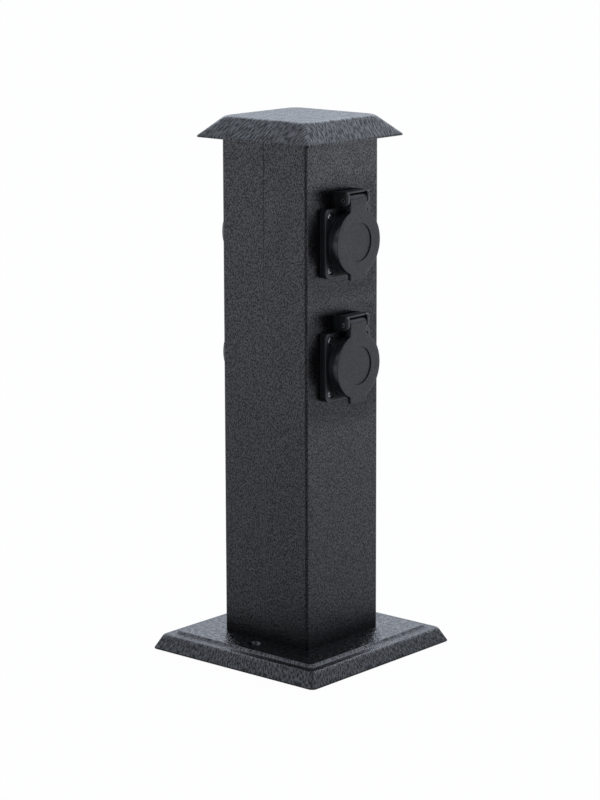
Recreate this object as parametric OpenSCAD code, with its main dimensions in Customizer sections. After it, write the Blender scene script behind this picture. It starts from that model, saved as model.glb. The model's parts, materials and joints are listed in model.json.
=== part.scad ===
// Garden socket post: a square steel post on a moulded base, with a roof-like cap
// and two hinged-lid earthed socket outlets on each of two opposite faces.
// Millimetres, +Z up, origin at the bottom centre of the base.
// Front outlets face -Y, back outlets face +Y, the plain faces are -X and +X.

/* [Post] */
// Outer width of the square tube
tube_w = 80; // [76:1:110]
// Wall thickness of the tube
tube_wall = 1.5; // [1:0.1:2.5]
// Outer corner radius of the tube
tube_r = 2; // [2:0.1:5]
// Height of the whole post
post_h = 396; // [366:0.5:600]
// Width of the weld seam down the -X face
seam_w = 0.6; // [0.3:0.1:1.5]
// Depth of the weld seam
seam_d = 0.15; // [0.1:0.05:0.5]

/* [Base] */
// Width of the square base
base_w = 157; // [150:1:200]
// Height of the raised middle panel of the base
base_h = 13; // [12:0.5:20]
// Width of the raised middle panel
panel_w = 134; // [128:0.5:137]
// Height of the step from the ledge up to the panel
panel_step = 2; // [1:0.1:3]
// Steepness of the panel's sides
panel_slope = 45; // [42:1:63]
// Radius where the panel's sides turn into its top
panel_r = 0.8; // [0.5:0.1:1.6]
// Height of the upright rim under the slope
base_lip = 0.8; // [0.4:0.1:2]
// Steepness of the sloped border
base_slope = 63; // [58:1:75]
// Radius where the slope turns into the ledge
base_edge_r = 3; // [2:0.5:6]
// Vertical corner radius of the base
base_corner_r = 4; // [2:0.5:8]
// Wall thickness of the base
base_wall = 3; // [2.5:0.1:3.5]
// Thickness of the ribs under the base
base_rib = 2.5; // [1.5:0.1:4]
// Distance between the two ground fixing holes
fix_pitch = 105; // [98:1:112]
// Diameter of a ground fixing hole
fix_hole_d = 5.5; // [4:0.1:7]
// Diameter of the countersink of a ground fixing hole
fix_sink_d = 10; // [8:0.1:12]
// Diameter of the boss round a ground fixing hole
fix_boss_d = 12; // [11:0.5:16]

/* [Cap] */
// Width of the cap at its eaves
cap_w = 106.8; // [102:0.2:140]
// Height of the cap from the eaves to its flat top
cap_h = 15.5; // [14.5:0.5:24]
// Height of the upright lip at the eaves
cap_lip = 1.2; // [0.8:0.1:3]
// Steepness of the cap's slopes
cap_slope = 47; // [42:1:55]
// Radius where the slopes turn into the flat top
cap_edge_r = 5; // [3:0.5:10]
// Vertical corner radius of the eaves
cap_corner_r = 3; // [1:0.5:6]
// Wall thickness of the cap
cap_wall = 2.4; // [2:0.1:3]
// Height of tube that is covered by the cap
cap_cover = 5; // [3:0.5:7]
// Depth of the cap's spigot in the tube
spigot_h = 12; // [8:0.5:20]
// Wall thickness of the spigot
spigot_wall = 2.4; // [2:0.1:4]

/* [Outlets] */
// Distance from the eaves down to the centre of an upper outlet
upper_drop = 72; // [62:0.5:90]
// Distance between the centres of the upper and lower outlets
outlet_pitch = 89.5; // [80:0.5:110]
// Width of the square flange
flange_w = 50; // [50:0.5:56]
// Thickness of the flange
flange_t = 4.2; // [3.6:0.1:6]
// Corner radius of the flange
flange_r = 4; // [2:0.5:6]
// Distance between the flange screws
screw_pitch = 38; // [38:0.5:42]
// Thickness of the flat gasket behind the flange
gasket_t = 1; // [0.6:0.1:2]
// Outer diameter of the round collar
collar_d = 45; // [44:0.1:46]
// Height of the collar above the flange
collar_h = 5.4; // [5:0.1:9]
// Diameter of the plug well at its mouth
mouth_d = 39.8; // [39.4:0.1:40.2]
// Depth of the wider mouth of the plug well
mouth_h = 5; // [4:0.1:5.5]
// Diameter of the plug well below its mouth
well_d = 39.2; // [38.8:0.1:39.3]
// Depth of the plug well below the collar's rim
well_depth = 17.5; // [16:0.1:19]
// Diameter of the housing's barrel inside the post
barrel_d = 42.6; // [42.2:0.1:43]
// Thickness of the barrel's rear wall
rear_wall = 2.5; // [1.5:0.1:3]

/* [Contacts] */
// Distance between the two plug pins
pin_pitch = 19; // [18.8:0.1:19.2]
// Bore of a contact sleeve
sleeve_bore = 4.9; // [4.9:0.05:5.2]
// Outer diameter of a contact sleeve
sleeve_d = 6.6; // [6.2:0.1:7]
// Length of a contact sleeve
sleeve_l = 18; // [17:0.5:20]
// Thickness of the contact insert
insert_t = 6; // [5:0.1:7]
// Length of the insulating towers behind the insert
tower_l = 8; // [6:0.1:9]
// Outer diameter of an insulating tower
tower_d = 10; // [9:0.1:10.4]
// Width of the earth strap
strap_w = 8; // [6:0.1:8.4]
// Thickness of the earth strap
strap_t = 1; // [0.8:0.1:1.2]
// Height of an earth clip above the centre of the well
clip_rise = 16.7; // [16.5:0.1:16.9]
// Width and height of a wire clamp block
clamp_w = 8; // [7:0.1:8.4]
// Depth of a wire clamp block
clamp_t = 6; // [5.5:0.1:6.4]
// Distance from a plug pin out to its wire clamp
clamp_side = 6.5; // [6.5:0.1:7.5]
// Drop from the centre of the well to the earth clamp
earth_drop = 9.5; // [9:0.1:11]

/* [Lids] */
// Diameter of a lid
lid_d = 47.8; // [47.4:0.1:48.6]
// Thickness of a lid
lid_t = 4.3; // [4.3:0.1:5]
// Depth of the skirt behind a lid
skirt_h = 1.6; // [1.5:0.1:2.6]
// Width of the neck between a lid and its hinge
neck_w = 17.8; // [14:0.1:20]
// Width of the finger tab under a lid
tab_w = 18; // [12:0.1:20]
// Distance from the lid's centre down to the end of the tab
tab_drop = 26.8; // [24.6:0.1:28]
// Thickness of the finger tab
tab_t = 2.6; // [1.5:0.1:3.5]
// Diameter of the shallow round recess in the front of a lid
recess_d = 28; // [20:0.5:36]
// Depth of that recess
recess_h = 0.8; // [0.2:0.1:1.2]
// Width of the rubber ring behind a lid
seal_w = 1.8; // [1.2:0.1:2]
// Thickness of the rubber ring
seal_t = 1.6; // [1.2:0.1:2]

/* [Hinges] */
// Height of the hinge axis above the lid's centre
hinge_rise = 30.5; // [30:0.1:32]
// Diameter of the hinge pin
pin_d = 3.2; // [2.8:0.1:3.4]
// Diameter of the hole in each end of the pin
pin_hole_d = 1.5; // [1:0.1:2]
// Radius of the lid's knuckle
knuckle_r = 4.4; // [4.3:0.1:4.8]
// Thickness of each hinge ear
ear_t = 2.7; // [1.8:0.1:3]
// Radius of the ears about the hinge axis
ear_r = 4.5; // [4.3:0.1:5.2]
// Radius on the top front corner of the hood
hood_r = 3; // [2:0.1:3.4]
// Thickness of the hood's top plate
hood_t = 1.4; // [0.8:0.1:1.8]
// Reach of the hood's top plate in front of the hinge axis
hood_reach = 3; // [1:0.1:3]
// Wire diameter of the lid spring
spring_wire = 0.7; // [0.5:0.05:0.7]
// Mean diameter of the spring's coil
spring_d = 5.1; // [5:0.05:5.4]
// Number of turns of the spring
spring_turns = 4; // [2:1:4]
// Distance between the turns of the spring
spring_pitch = 1.5; // [1.3:0.05:1.6]

/* [Wiring] */
// Diameter of an insulated wire
wire_d = 2.8; // [2.4:0.1:3]
// Diameter of a bared wire end
core_d = 1.4; // [1:0.1:1.6]
// Width of the terminal block
block_w = 39; // [38:0.5:40]
// Depth of the terminal block
block_d = 16; // [14:0.5:16]
// Height of the terminal block
block_h = 20; // [18:0.5:26]
// Distance between the poles of the terminal block
pole_pitch = 12; // [11:0.1:12.5]
// Height of the terminal block above the base panel
block_lift = 33; // [30:0.5:40]
// Distance of the terminal block's carrier from the middle of the post
carrier_y = 16; // [15.6:0.1:17]
// Thickness of the carrier
carrier_t = 3; // [2:0.1:4]
// Bore of the cable gland's seal
cable_d = 10; // [8:0.1:11]
// Thread diameter of the cable gland
gland_d = 20; // [18:0.5:21]
// Width of the cable gland's hexagon across its flats
gland_hex = 24; // [23:0.5:25]

/* [Fits] */
// Clearance round a piece that slips into another
slip = 0.3; // [0.2:0.05:0.4]
// Clearance round a pin that turns
running = 0.08; // [0.05:0.01:0.1]
// Clearance round a pressed or threaded piece
snug = 0.02; // [0.01:0.01:0.05]
// Gap between a lid and the collar's rim
lid_gap = 0.2; // [0.15:0.05:0.3]
// Gap between the hood and the turning knuckle
turn_gap = 0.5; // [0.4:0.05:0.6]

/* [Hidden] */
$fn = 96;
// A cut reaches this far past the face that it opens
cut = 1;

// Post
half = tube_w / 2;
tube_in = tube_w - 2 * tube_wall;
tube_in_r = max(tube_r - tube_wall, 0.5);
eaves_z = post_h - cap_h;
tube_top = eaves_z + cap_cover;
upper_z = eaves_z - upper_drop;
lower_z = upper_z - outlet_pitch;

// Base
floor_z = base_h - base_wall;
ledge_z = base_h - panel_step;
ledge_floor = ledge_z - base_wall;
cavity_w = panel_w - 2 * base_wall;
angle_leg = 15;
angle_t = 2;
angle_l = 40;
angle_x = tube_in / 2 - angle_leg;
foot_inset = 6.5;
foot_screw_x = angle_x + foot_inset;
foot_screw_y = 12;
rail_t = 2.2;
rail_h = 6;
rail_l = 50;
rail_y = tube_in / 2 - slip - rail_t / 2;

// Outlet, as distances out from the face of the tube
flange_front = gasket_t + flange_t;
rim = flange_front + collar_h;
lid_back = rim + lid_gap;
lid_front = lid_back + lid_t;
axis_out = lid_front - knuckle_r;
well_floor = rim - well_depth;
insert_back = well_floor - insert_t;
barrel_back = insert_back - rear_wall;
strap_back = barrel_back - strap_t;
tower_back = insert_back - tower_l;
sleeve_sunk = 2.2;
sleeve_front = well_floor - sleeve_sunk;
sleeve_back = sleeve_front - sleeve_l;
clamp_front = tower_back - slip;
clamp_back = clamp_front - clamp_t;
clamp_out = clamp_front - clamp_t / 2;
clamp_x = pin_pitch / 2 + clamp_side;
earth_back = strap_back - clamp_t;
earth_out = strap_back - clamp_t / 2;
cutout_d = barrel_d + 2 * slip;
// Bends of an earth clip: distance out from the well's floor, and height above the clip
clip_bends = [[2, 0], [6.5, -1.3], [9, -1.1], [11.5, 0.2]];

// Hinge
ear_gap = 0.7;
ear_in = neck_w / 2 + ear_gap;
hood_half = ear_in + ear_t;
hood_under = hinge_rise + knuckle_r + turn_gap;
hood_top = hood_under + hood_t;
hood_front = axis_out + ear_r;
// Foot of an ear below the flange's top edge, and its waist as shares of the ear's radius
ear_foot = 3;
ear_waist = [0.5, 0.8];
// Inside of the lid's skirt, which clears the collar's rim while the lid swings
swing_drop = axis_out - lid_back + skirt_h;
swing_reach = hinge_rise - collar_d / 2 - slip / 2;
skirt_in = max(collar_d / 2 + slip, hinge_rise - sqrt(pow(swing_reach, 2) - pow(swing_drop, 2)));
pocket_w = spring_turns * spring_pitch + spring_wire + 2;
pocket_r = spring_d / 2 + spring_wire / 2 + 0.5;

// Screws: head diameter, head height, shank diameter
flange_screw = [5.8, 2, 3.5];
insert_screw = [6, 1.8, 3];
clamp_screw = [4.6, 1.8, 3];
block_screw = [5.6, 2, 3];
foot_screw = [8, 2.6, 4];
earth_screw_size = [7, 2.6, 4];
head_room = 0.6;
// Length, width and depth of a screw's cross recess, as shares of its head
cross_share = [0.55, 0.13, 0.6];
// How far a screw reaches past the last piece that it goes through
flange_screw_past = 4;
insert_screw_past = 0.6;
clamp_screw_past = 0.2;
earth_screw_past = 1;

// Wiring
block_z = base_h + block_lift;
block_y = carrier_y - block_d / 2;
pole_bore_r = 2.5;
pole_r = 3.8;
feed_side = 1.6;
wire_rise = 8;
wire_shift = 60;
wire_sides = 8;
// Length of bared wire in the terminal block, and how far a bared end stops short in its clamp
bared_l = 6;
core_short = 0.6;
bond_screw = [-foot_screw_x, 0, base_h + angle_t];

// Cable gland
gland_hex_h = 5;
gland_nut_h = 5;
gland_cup_h = 10;
dome_h = 14;
dome_wall = 2;
dome_edge = 2;
// Share of the dome nut's height that is a hexagon
dome_grip = 0.6;
seal_l = 10;

// Ring lug on the earth screw, and the bonding wire's route from it to the middle pole
lug_t = 1;
lug_r = 4;
lug_reach = 9;
barrel_l = 6;
barrel_r = 2.2;
bond_route = [
    bond_screw + [0, -lug_reach - 4, lug_t + barrel_r],
    bond_screw + [0, -lug_reach - 8, lug_t + barrel_r],
    bond_screw + [1, -lug_reach - 12, lug_t + barrel_r + 2],
    bond_screw + [5, -lug_reach - 15, lug_t + barrel_r + 8],
    [-14, -15, block_z - 11],
    [-6, -8, block_z - 6],
    [-1, 2, block_z - 4.5],
    [0, block_y - 1, block_z - 3.5],
    [0, block_y, block_z - 1],
    [0, block_y, block_z],
    [0, block_y, block_z + 6]
];

// Coil round the pin, with one leg on the hood's back and one against the lid
spring_r = spring_d / 2;
spring_rings = 8;
spring_back = axis_out - flange_front - slip;
spring_fore = sqrt(pow(pocket_r, 2) - pow(spring_r + spring_wire / 2, 2)) - slip / 2;
spring_path = concat(
    [[-spring_turns * spring_pitch / 2, spring_r, spring_fore]],
    [
        for (i = [0:spring_turns * spring_rings])
            let (a = 90 + 360 * i / spring_rings)
            [(i / spring_rings - spring_turns / 2) * spring_pitch, spring_r * sin(a), spring_r * cos(a)]
    ],
    [[spring_turns * spring_pitch / 2, spring_r, -spring_back]]
);
spring_gap = min([
    for (i = [0:len(spring_path) - 1], j = [0:len(spring_path) - 1])
        if (j > i + spring_rings / 2)
            norm(spring_path[j] - spring_path[i]) - spring_wire
]);
echo(least_gap_between_the_turns_of_the_lid_spring = spring_gap);

SOCKETS = ["front_upper", "front_lower", "back_upper", "back_lower"];
POST_NODES = [
    "post_tube", "top_cap", "base", "foot_angles", "foot_screws",
    "gland_body", "gland_locknut", "gland_seal", "gland_dome_nut",
    "terminal_block", "terminal_sleeves", "terminal_clamp_screws", "terminal_block_screws",
    "earth_screw", "bonding_wire", "live_wires", "neutral_wires", "earth_wires",
    "flange_screws", "insert_screws", "contact_clamp_screws"
];
SOCKET_NODES = [
    "flange_gasket", "socket_housing", "contact_insert", "pin_contacts", "earth_strap",
    "lid", "lid_seal", "hinge_pin", "lid_spring"
];

// Puts an outlet's pieces on the post: x to the right, y up, z out from the tube's face
module at_outlet(i) {
    turn = i < 2 ? 0 : 180;
    z = i % 2 == 0 ? upper_z : lower_z;
    rotate([0, 0, turn])
        translate([0, -half, z])
            rotate([90, 0, 0])
                children();
}

// Square with exact round corners
module round_square(w, r) {
    square([w - 2 * r, w], center = true);
    square([w, w - 2 * r], center = true);
    for (x = [-1, 1], y = [-1, 1])
        translate([x * (w / 2 - r), y * (w / 2 - r)])
            circle(r);
}

// Carries an outline of distance out and height across the outlet, along x
module across(width) {
    rotate([0, -90, 0])
        linear_extrude(width, center = true)
            children();
}

// Square solid with the given right-hand outline on all four sides
module four_sided(outline, w) {
    whole = concat(outline, [for (i = [len(outline) - 1:-1:0]) [-outline[i][0], outline[i][1]]]);
    intersection() {
        rotate([90, 0, 0])
            linear_extrude(w, center = true)
                polygon(whole);
        rotate([90, 0, 90])
            linear_extrude(w, center = true)
                polygon(whole);
    }
}

// Points of an arc about a centre, from one angle to another
function arc(c, r, a0, a1, n) = [
    for (i = [0:n])
        let (a = a0 + (a1 - a0) * i / n)
        c + r * [cos(a), sin(a)]
];

// Slope from an edge point that turns into a level top with a radius
function eased_slope(x, z, top, slope, r, n) =
    let (corner_x = x - (top - z) / tan(slope), reach = r * tan(slope / 2))
    concat([[x, z]], arc([corner_x - reach, top - r], r, 90 - slope, 90, n));

// Screw along -z with its head's top at z = 0 and a cross recess
module screw(size, length) {
    recess = [size[0] * cross_share[0], size[0] * cross_share[1], size[1] * cross_share[2]];
    difference() {
        union() {
            translate([0, 0, -size[1]])
                cylinder(d = size[0], h = size[1], $fn = 48);
            translate([0, 0, -length])
                cylinder(d = size[2], h = length - size[1] / 2, $fn = 48);
        }
        for (a = [0, 90])
            rotate([0, 0, a])
                translate([-recess[0] / 2, -recess[1] / 2, -recess[2]])
                    cube([recess[0], recess[1], recess[2] + cut]);
    }
}

// Hole for a screw's shank
module shank_hole(size, length, clearance) {
    translate([0, 0, -length])
        cylinder(d = size[2] + 2 * clearance, h = length, $fn = 48);
}

function unit(v) = v / norm(v);
function heading(path, i) = unit(path[min(i + 1, len(path) - 1)] - path[max(i - 1, 0)]);

// Round tube swept along a path, with a radius at each point; side is never along the path
module swept(path, radii, sides, side) {
    rings = len(path);
    points = [
        for (i = [0:rings - 1])
            let (t = heading(path, i), u = unit(cross(side, t)), v = cross(t, u))
            for (j = [0:sides - 1])
                path[i] + radii[i] * (cos(360 * j / sides) * u + sin(360 * j / sides) * v)
    ];
    last = (rings - 1) * sides;
    walls = [
        for (i = [0:rings - 2], j = [0:sides - 1])
            let (a = i * sides + j, b = i * sides + (j + 1) % sides)
            each [[a, b + sides, b], [a, a + sides, b + sides]]
    ];
    ends = [for (j = [1:sides - 2]) each [[0, j, j + 1], [last, last + j + 1, last + j]]];
    polyhedron(points = points, faces = concat(walls, ends), convexity = 6);
}

module flange_screw_places() {
    for (x = [-1, 1], y = [-1, 1])
        translate([x * screw_pitch / 2, y * screw_pitch / 2, 0])
            children();
}

module fixing_places() {
    for (x = [-1, 1])
        translate([x * fix_pitch / 2, 0, 0])
            children();
}

module foot_screw_places() {
    for (x = [-1, 1], y = [-1, 1])
        translate([x * foot_screw_x, y * foot_screw_y, 0])
            children();
}

// Post pieces
module post_tube() {
    color("#34353a")
        difference() {
            translate([0, 0, base_h])
                linear_extrude(tube_top - base_h)
                    difference() {
                        round_square(tube_w, tube_r);
                        round_square(tube_in, tube_in_r);
                    }
            for (i = [0:3])
                at_outlet(i) {
                    translate([0, 0, -tube_wall - cut])
                        cylinder(d = cutout_d, h = tube_wall + 2 * cut);
                    flange_screw_places()
                        translate([0, 0, cut])
                            shank_hole(flange_screw, tube_wall + 2 * cut, snug);
                }
            translate([-half - cut, -seam_w / 2, base_h - cut])
                cube([seam_d + cut, seam_w, tube_top - base_h + 2 * cut]);
        }
}

module cap_shell() {
    outer = concat(
        [[cap_w / 2, 0]],
        eased_slope(cap_w / 2, cap_lip, cap_h, cap_slope, cap_edge_r, 8)
    );
    inner_top = cap_h - cap_wall;
    inner_x = cap_w / 2 - cap_wall;
    inner = [
        [inner_x, -cut],
        [inner_x, 0],
        [inner_x - inner_top / tan(cap_slope), inner_top]
    ];
    difference() {
        intersection() {
            four_sided(outer, cap_w);
            linear_extrude(cap_h)
                round_square(cap_w, cap_corner_r);
        }
        four_sided(inner, cap_w);
    }
}

module top_cap() {
    spigot_w = tube_in - 2 * slip;
    spigot_r = max(tube_in_r - slip, 0.3);
    seat_w = tube_w + 2 * slip;
    inner_w = spigot_w - 2 * spigot_wall;
    under = cap_h - cap_wall / 2;
    color("#2b2c2f")
        translate([0, 0, eaves_z]) {
            cap_shell();
            translate([0, 0, cap_cover])
                linear_extrude(under - cap_cover)
                    difference() {
                        square(seat_w, center = true);
                        square(inner_w, center = true);
                    }
            translate([0, 0, cap_cover - spigot_h])
                linear_extrude(under - cap_cover + spigot_h)
                    difference() {
                        round_square(spigot_w, spigot_r);
                        square(inner_w, center = true);
                    }
            for (a = [0, 90])
                rotate([0, 0, a])
                    translate([-inner_w / 2 - spigot_wall / 2, -spigot_wall / 2, 0])
                        cube([inner_w + spigot_wall, spigot_wall, under]);
        }
}

module base_shell() {
    outer = concat(
        [[base_w / 2, 0]],
        eased_slope(base_w / 2, base_lip, ledge_z, base_slope, base_edge_r, 8),
        eased_slope(panel_w / 2, ledge_z, base_h, panel_slope, panel_r, 4)
    );
    foot = base_w / 2 - base_wall;
    shoulder = foot - ledge_floor / tan(base_slope);
    inner = [
        [foot, -cut],
        [foot, 0],
        [shoulder, ledge_floor],
        [cavity_w / 2, ledge_floor],
        [cavity_w / 2, floor_z]
    ];
    difference() {
        intersection() {
            four_sided(outer, base_w);
            linear_extrude(base_h)
                round_square(base_w, base_corner_r);
        }
        four_sided(inner, base_w);
    }
}

module base_ribs() {
    reach = base_w - 2 * base_wall;
    for (a = [0, 90], s = [-1, 1])
        rotate([0, 0, a])
            translate([-reach / 2, s * half - base_rib / 2, 0])
                cube([reach, base_rib, ledge_floor + base_wall / 2]);
    for (a = [0, 90], s = [-1, 1])
        rotate([0, 0, a])
            translate([-cavity_w / 2, s * half - base_rib / 2, 0])
                cube([cavity_w, base_rib, floor_z + base_wall / 2]);
    fixing_places()
        cylinder(d = fix_boss_d, h = floor_z + base_wall / 2);
}

module block_carrier() {
    gusset = 12;
    top = block_z + block_h;
    translate([-block_w / 2, carrier_y, floor_z + base_wall / 2])
        cube([block_w, carrier_t, top - floor_z - base_wall / 2]);
    for (x = [-1, 1])
        translate([x * (block_w / 2 - carrier_t / 2), carrier_y + carrier_t / 2, base_h - base_wall / 2])
            rotate([90, 0, 90])
                linear_extrude(carrier_t, center = true)
                    polygon([[0, 0], [gusset, 0], [gusset, base_wall], [0, block_lift]]);
}

module base() {
    sink_depth = (fix_sink_d - fix_hole_d) / 2;
    color("#2a2b2e")
        difference() {
            union() {
                base_shell();
                intersection() {
                    base_ribs();
                    linear_extrude(base_h)
                        round_square(base_w - base_wall, base_corner_r);
                    four_sided([
                        [base_w / 2 - base_wall / 2, 0],
                        [base_w / 2 - base_wall / 2 - base_h / tan(base_slope), base_h]
                    ], base_w);
                }
                block_carrier();
                for (s = [-1, 1])
                    translate([-rail_l / 2, s * rail_y - rail_t / 2, floor_z + base_wall / 2])
                        cube([rail_l, rail_t, base_wall / 2 + rail_h]);
            }
            fixing_places() {
                translate([0, 0, -cut])
                    cylinder(d = fix_hole_d, h = base_h + 2 * cut, $fn = 48);
                translate([0, 0, base_h - sink_depth])
                    cylinder(d1 = fix_hole_d, d2 = fix_sink_d, h = sink_depth, $fn = 48);
            }
            translate([0, 0, floor_z - cut])
                cylinder(d = gland_d + 2 * slip, h = base_wall + 2 * cut);
            foot_screw_places()
                translate([0, 0, base_h + cut])
                    shank_hole(foot_screw, base_wall + 2 * cut, slip);
            translate(bond_screw)
                shank_hole(earth_screw_size, angle_t + base_wall / 2, slip);
            translate([0, carrier_y + carrier_t + cut, 0])
                rotate([-90, 0, 0])
                    block_screw_places()
                        shank_hole(block_screw, carrier_t + 2 * cut, snug);
        }
}

// Screws of the terminal block, in a frame whose z axis is the post's +Y
module block_screw_places() {
    for (x = [-1, 1])
        translate([x * pole_pitch / 2, -(block_z + block_h / 2), 0])
            children();
}

module foot_angles() {
    color("#8d9094")
        for (s = [0, 180])
            rotate([0, 0, s])
                difference() {
                    translate([0, angle_l / 2, base_h])
                        rotate([90, 0, 0])
                            linear_extrude(angle_l)
                                polygon([
                                    [angle_x, 0],
                                    [tube_in / 2, 0],
                                    [tube_in / 2, angle_leg],
                                    [tube_in / 2 - angle_t, angle_leg],
                                    [tube_in / 2 - angle_t, angle_t],
                                    [angle_x, angle_t]
                                ]);
                    foot_screw_places()
                        translate([0, 0, base_h + angle_t + cut])
                            shank_hole(foot_screw, angle_t + 2 * cut, snug);
                    if (s == 180)
                        rotate([0, 0, -s])
                            translate(bond_screw + [0, 0, cut])
                                shank_hole(earth_screw_size, angle_t + 2 * cut, snug);
                }
}

module foot_screws() {
    color("#a8abae")
        foot_screw_places()
            translate([0, 0, floor_z - foot_screw[1]])
                rotate([180, 0, 0])
                    screw(foot_screw, foot_screw[1] + base_wall + angle_t);
}

module hexagon(af, h) {
    cylinder(d = af / cos(30), h = h, $fn = 6);
}

module gland_body() {
    color("#3a3b3d")
        difference() {
            union() {
                translate([0, 0, floor_z - gland_nut_h])
                    cylinder(d = gland_d, h = gland_nut_h + base_wall + gland_hex_h / 2);
                translate([0, 0, base_h])
                    hexagon(gland_hex, gland_hex_h);
                translate([0, 0, base_h + gland_hex_h / 2])
                    cylinder(d = gland_d, h = gland_hex_h / 2 + gland_cup_h);
            }
            cylinder(d = cable_d + 4 * slip, h = 2 * base_h + gland_cup_h);
            translate([0, 0, base_h + gland_hex_h])
                cylinder(d = gland_d - 2 * dome_wall, h = gland_cup_h + cut);
        }
}

module gland_locknut() {
    color("#3a3b3d")
        translate([0, 0, floor_z - gland_nut_h])
            difference() {
                hexagon(gland_hex + 2, gland_nut_h);
                translate([0, 0, -cut])
                    cylinder(d = gland_d + 2 * snug, h = gland_nut_h + 2 * cut);
            }
}

module gland_seal() {
    color("#1a1a1b")
        translate([0, 0, base_h + gland_hex_h])
            difference() {
                cylinder(d = gland_d - 2 * dome_wall - 2 * snug, h = seal_l);
                translate([0, 0, -cut])
                    cylinder(d = cable_d, h = seal_l + 2 * cut);
            }
}

module gland_dome_nut() {
    color("#3a3b3d")
        translate([0, 0, base_h + gland_hex_h])
            difference() {
                union() {
                    hexagon(gland_hex, dome_h * dome_grip);
                    cylinder(d = gland_hex, h = dome_h - dome_edge);
                    translate([0, 0, dome_h - dome_edge])
                        cylinder(d1 = gland_hex, d2 = gland_hex - 2 * dome_edge, h = dome_edge);
                }
                translate([0, 0, -cut])
                    cylinder(d = gland_d + 2 * snug, h = gland_cup_h + slip + cut);
                cylinder(d = cable_d + 4 * slip, h = dome_h + cut);
            }
}

module pole_places() {
    for (i = [-1, 0, 1])
        translate([i * pole_pitch, block_y, block_z])
            children();
}

// Clamp screws of the terminal block, which press from its front
module pole_screw_places() {
    for (i = [-1, 0, 1], j = [0.25, 0.75])
        translate([i * pole_pitch, block_y - block_d / 2, block_z + j * block_h])
            rotate([90, 0, 0])
                children();
}

module terminal_block() {
    well = block_d / 2 - pole_r;
    color("#d9d9d4")
        difference() {
            translate([-block_w / 2, carrier_y - block_d, block_z])
                cube([block_w, block_d, block_h]);
            pole_places()
                translate([0, 0, -cut])
                    cylinder(r = pole_r + slip / 2, h = block_h + 2 * cut, $fn = 48);
            pole_screw_places()
                translate([0, 0, -well - 1])
                    cylinder(d = clamp_screw[0] + head_room, h = well + 1 + cut, $fn = 48);
            translate([0, carrier_y + cut, 0])
                rotate([-90, 0, 0])
                    block_screw_places()
                        shank_hole(block_screw, block_d + 2 * cut, slip);
        }
}

module terminal_sleeves() {
    color("#c8a24c")
        pole_places()
            difference() {
                cylinder(r = pole_r, h = block_h, $fn = 48);
                translate([0, 0, -cut])
                    cylinder(r = pole_bore_r, h = block_h + 2 * cut, $fn = 48);
                for (j = [0.25, 0.75])
                    translate([0, 0, j * block_h])
                        rotate([90, 0, 0])
                            cylinder(d = clamp_screw[2] + 2 * snug, h = pole_r + cut, $fn = 48);
            }
}

module terminal_clamp_screws() {
    sunk = block_d / 2 - pole_r - clamp_screw[1];
    color("#b9bbbd")
        pole_screw_places()
            translate([0, 0, -sunk])
                screw(clamp_screw, clamp_screw[1] + pole_r - pole_bore_r + clamp_screw_past);
}

module terminal_block_screws() {
    color("#b9bbbd")
        translate([0, carrier_y - block_d - block_screw[1], 0])
            rotate([-90, 0, 0])
                block_screw_places()
                    rotate([180, 0, 0])
                        screw(block_screw, block_screw[1] + block_d + carrier_t);
}

module earth_screw() {
    color("#b9bbbd")
        translate(bond_screw + [0, 0, lug_t + earth_screw_size[1]])
            screw(earth_screw_size, earth_screw_size[1] + lug_t + angle_t + earth_screw_past);
}

// Ring lug on the earth screw, with its wire
module bonding_wire() {
    last = len(bond_route) - 1;
    radii = [for (i = [0:last]) i > last - 2 ? core_d / 2 : wire_d / 2];
    color("#4f9a3a") {
        translate(bond_screw)
            difference() {
                union() {
                    cylinder(r = lug_r, h = lug_t, $fn = 48);
                    translate([-barrel_r, -lug_reach, 0])
                        cube([2 * barrel_r, lug_reach, lug_t]);
                    translate([0, -lug_reach + 1, lug_t / 2 + barrel_r])
                        rotate([90, 0, 0])
                            cylinder(r = barrel_r, h = barrel_l, $fn = 48);
                }
                translate([0, 0, -cut])
                    cylinder(d = earth_screw_size[2] + 2 * slip, h = lug_t + 2 * cut, $fn = 48);
            }
        swept(bond_route, radii, wire_sides, [0.3, 0.2, 1]);
    }
}

// Wires of one pole: a feed from the terminal block to each lower outlet, and a straight
// link from each lower outlet up to the one above it
function eased(t) = t * t * (3 - 2 * t);

module feed_wire(from, to, end_z) {
    start = block_z + block_h - bared_l;
    out = block_z + block_h + 2;
    bend = out + wire_rise;
    steps = 10;
    path = concat(
        [for (z = [start, out - 1, out]) [from[0], from[1], z]],
        [
            for (i = [0:steps])
                let (t = i / steps, e = eased(t))
                [from[0] + (to[0] - from[0]) * e, from[1] + (to[1] - from[1]) * e, bend + wire_shift * t]
        ],
        [for (z = [end_z - 2, end_z - 1, end_z + clamp_w / 2 - core_short]) [to[0], to[1], z]]
    );
    last = len(path) - 1;
    radii = [for (i = [0:last]) i < 2 || i > last - 2 ? core_d / 2 : wire_d / 2];
    swept(path, radii, wire_sides, [1, 0, 0]);
}

module link_wire(at, low_z, high_z) {
    inner = clamp_w / 2 - core_short;
    path = [
        for (z = [low_z - inner, low_z + 1, low_z + 2, high_z - 2, high_z - 1, high_z + inner])
            [at[0], at[1], z]
    ];
    radii = [core_d, core_d, wire_d, wire_d, core_d, core_d] / 2;
    swept(path, radii, wire_sides, [1, 0, 0]);
}

// side is -1, 0 or 1 for the pole, out is the wire's distance from the tube's face, drop is
// how far the clamp lies below the outlet's centre
module pole_wires(side, out, drop) {
    for (face = [-1, 1]) {
        at = [side * (side == 0 ? 0 : clamp_x), face * (half + out)];
        from = [side * pole_pitch, block_y + face * feed_side];
        feed_wire(from, at, lower_z - drop - clamp_w / 2);
        link_wire(at, lower_z - drop + clamp_w / 2, upper_z - drop - clamp_w / 2);
    }
}

module live_wires() {
    color("#6b3f22")
        pole_wires(-1, clamp_out, 0);
}

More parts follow.
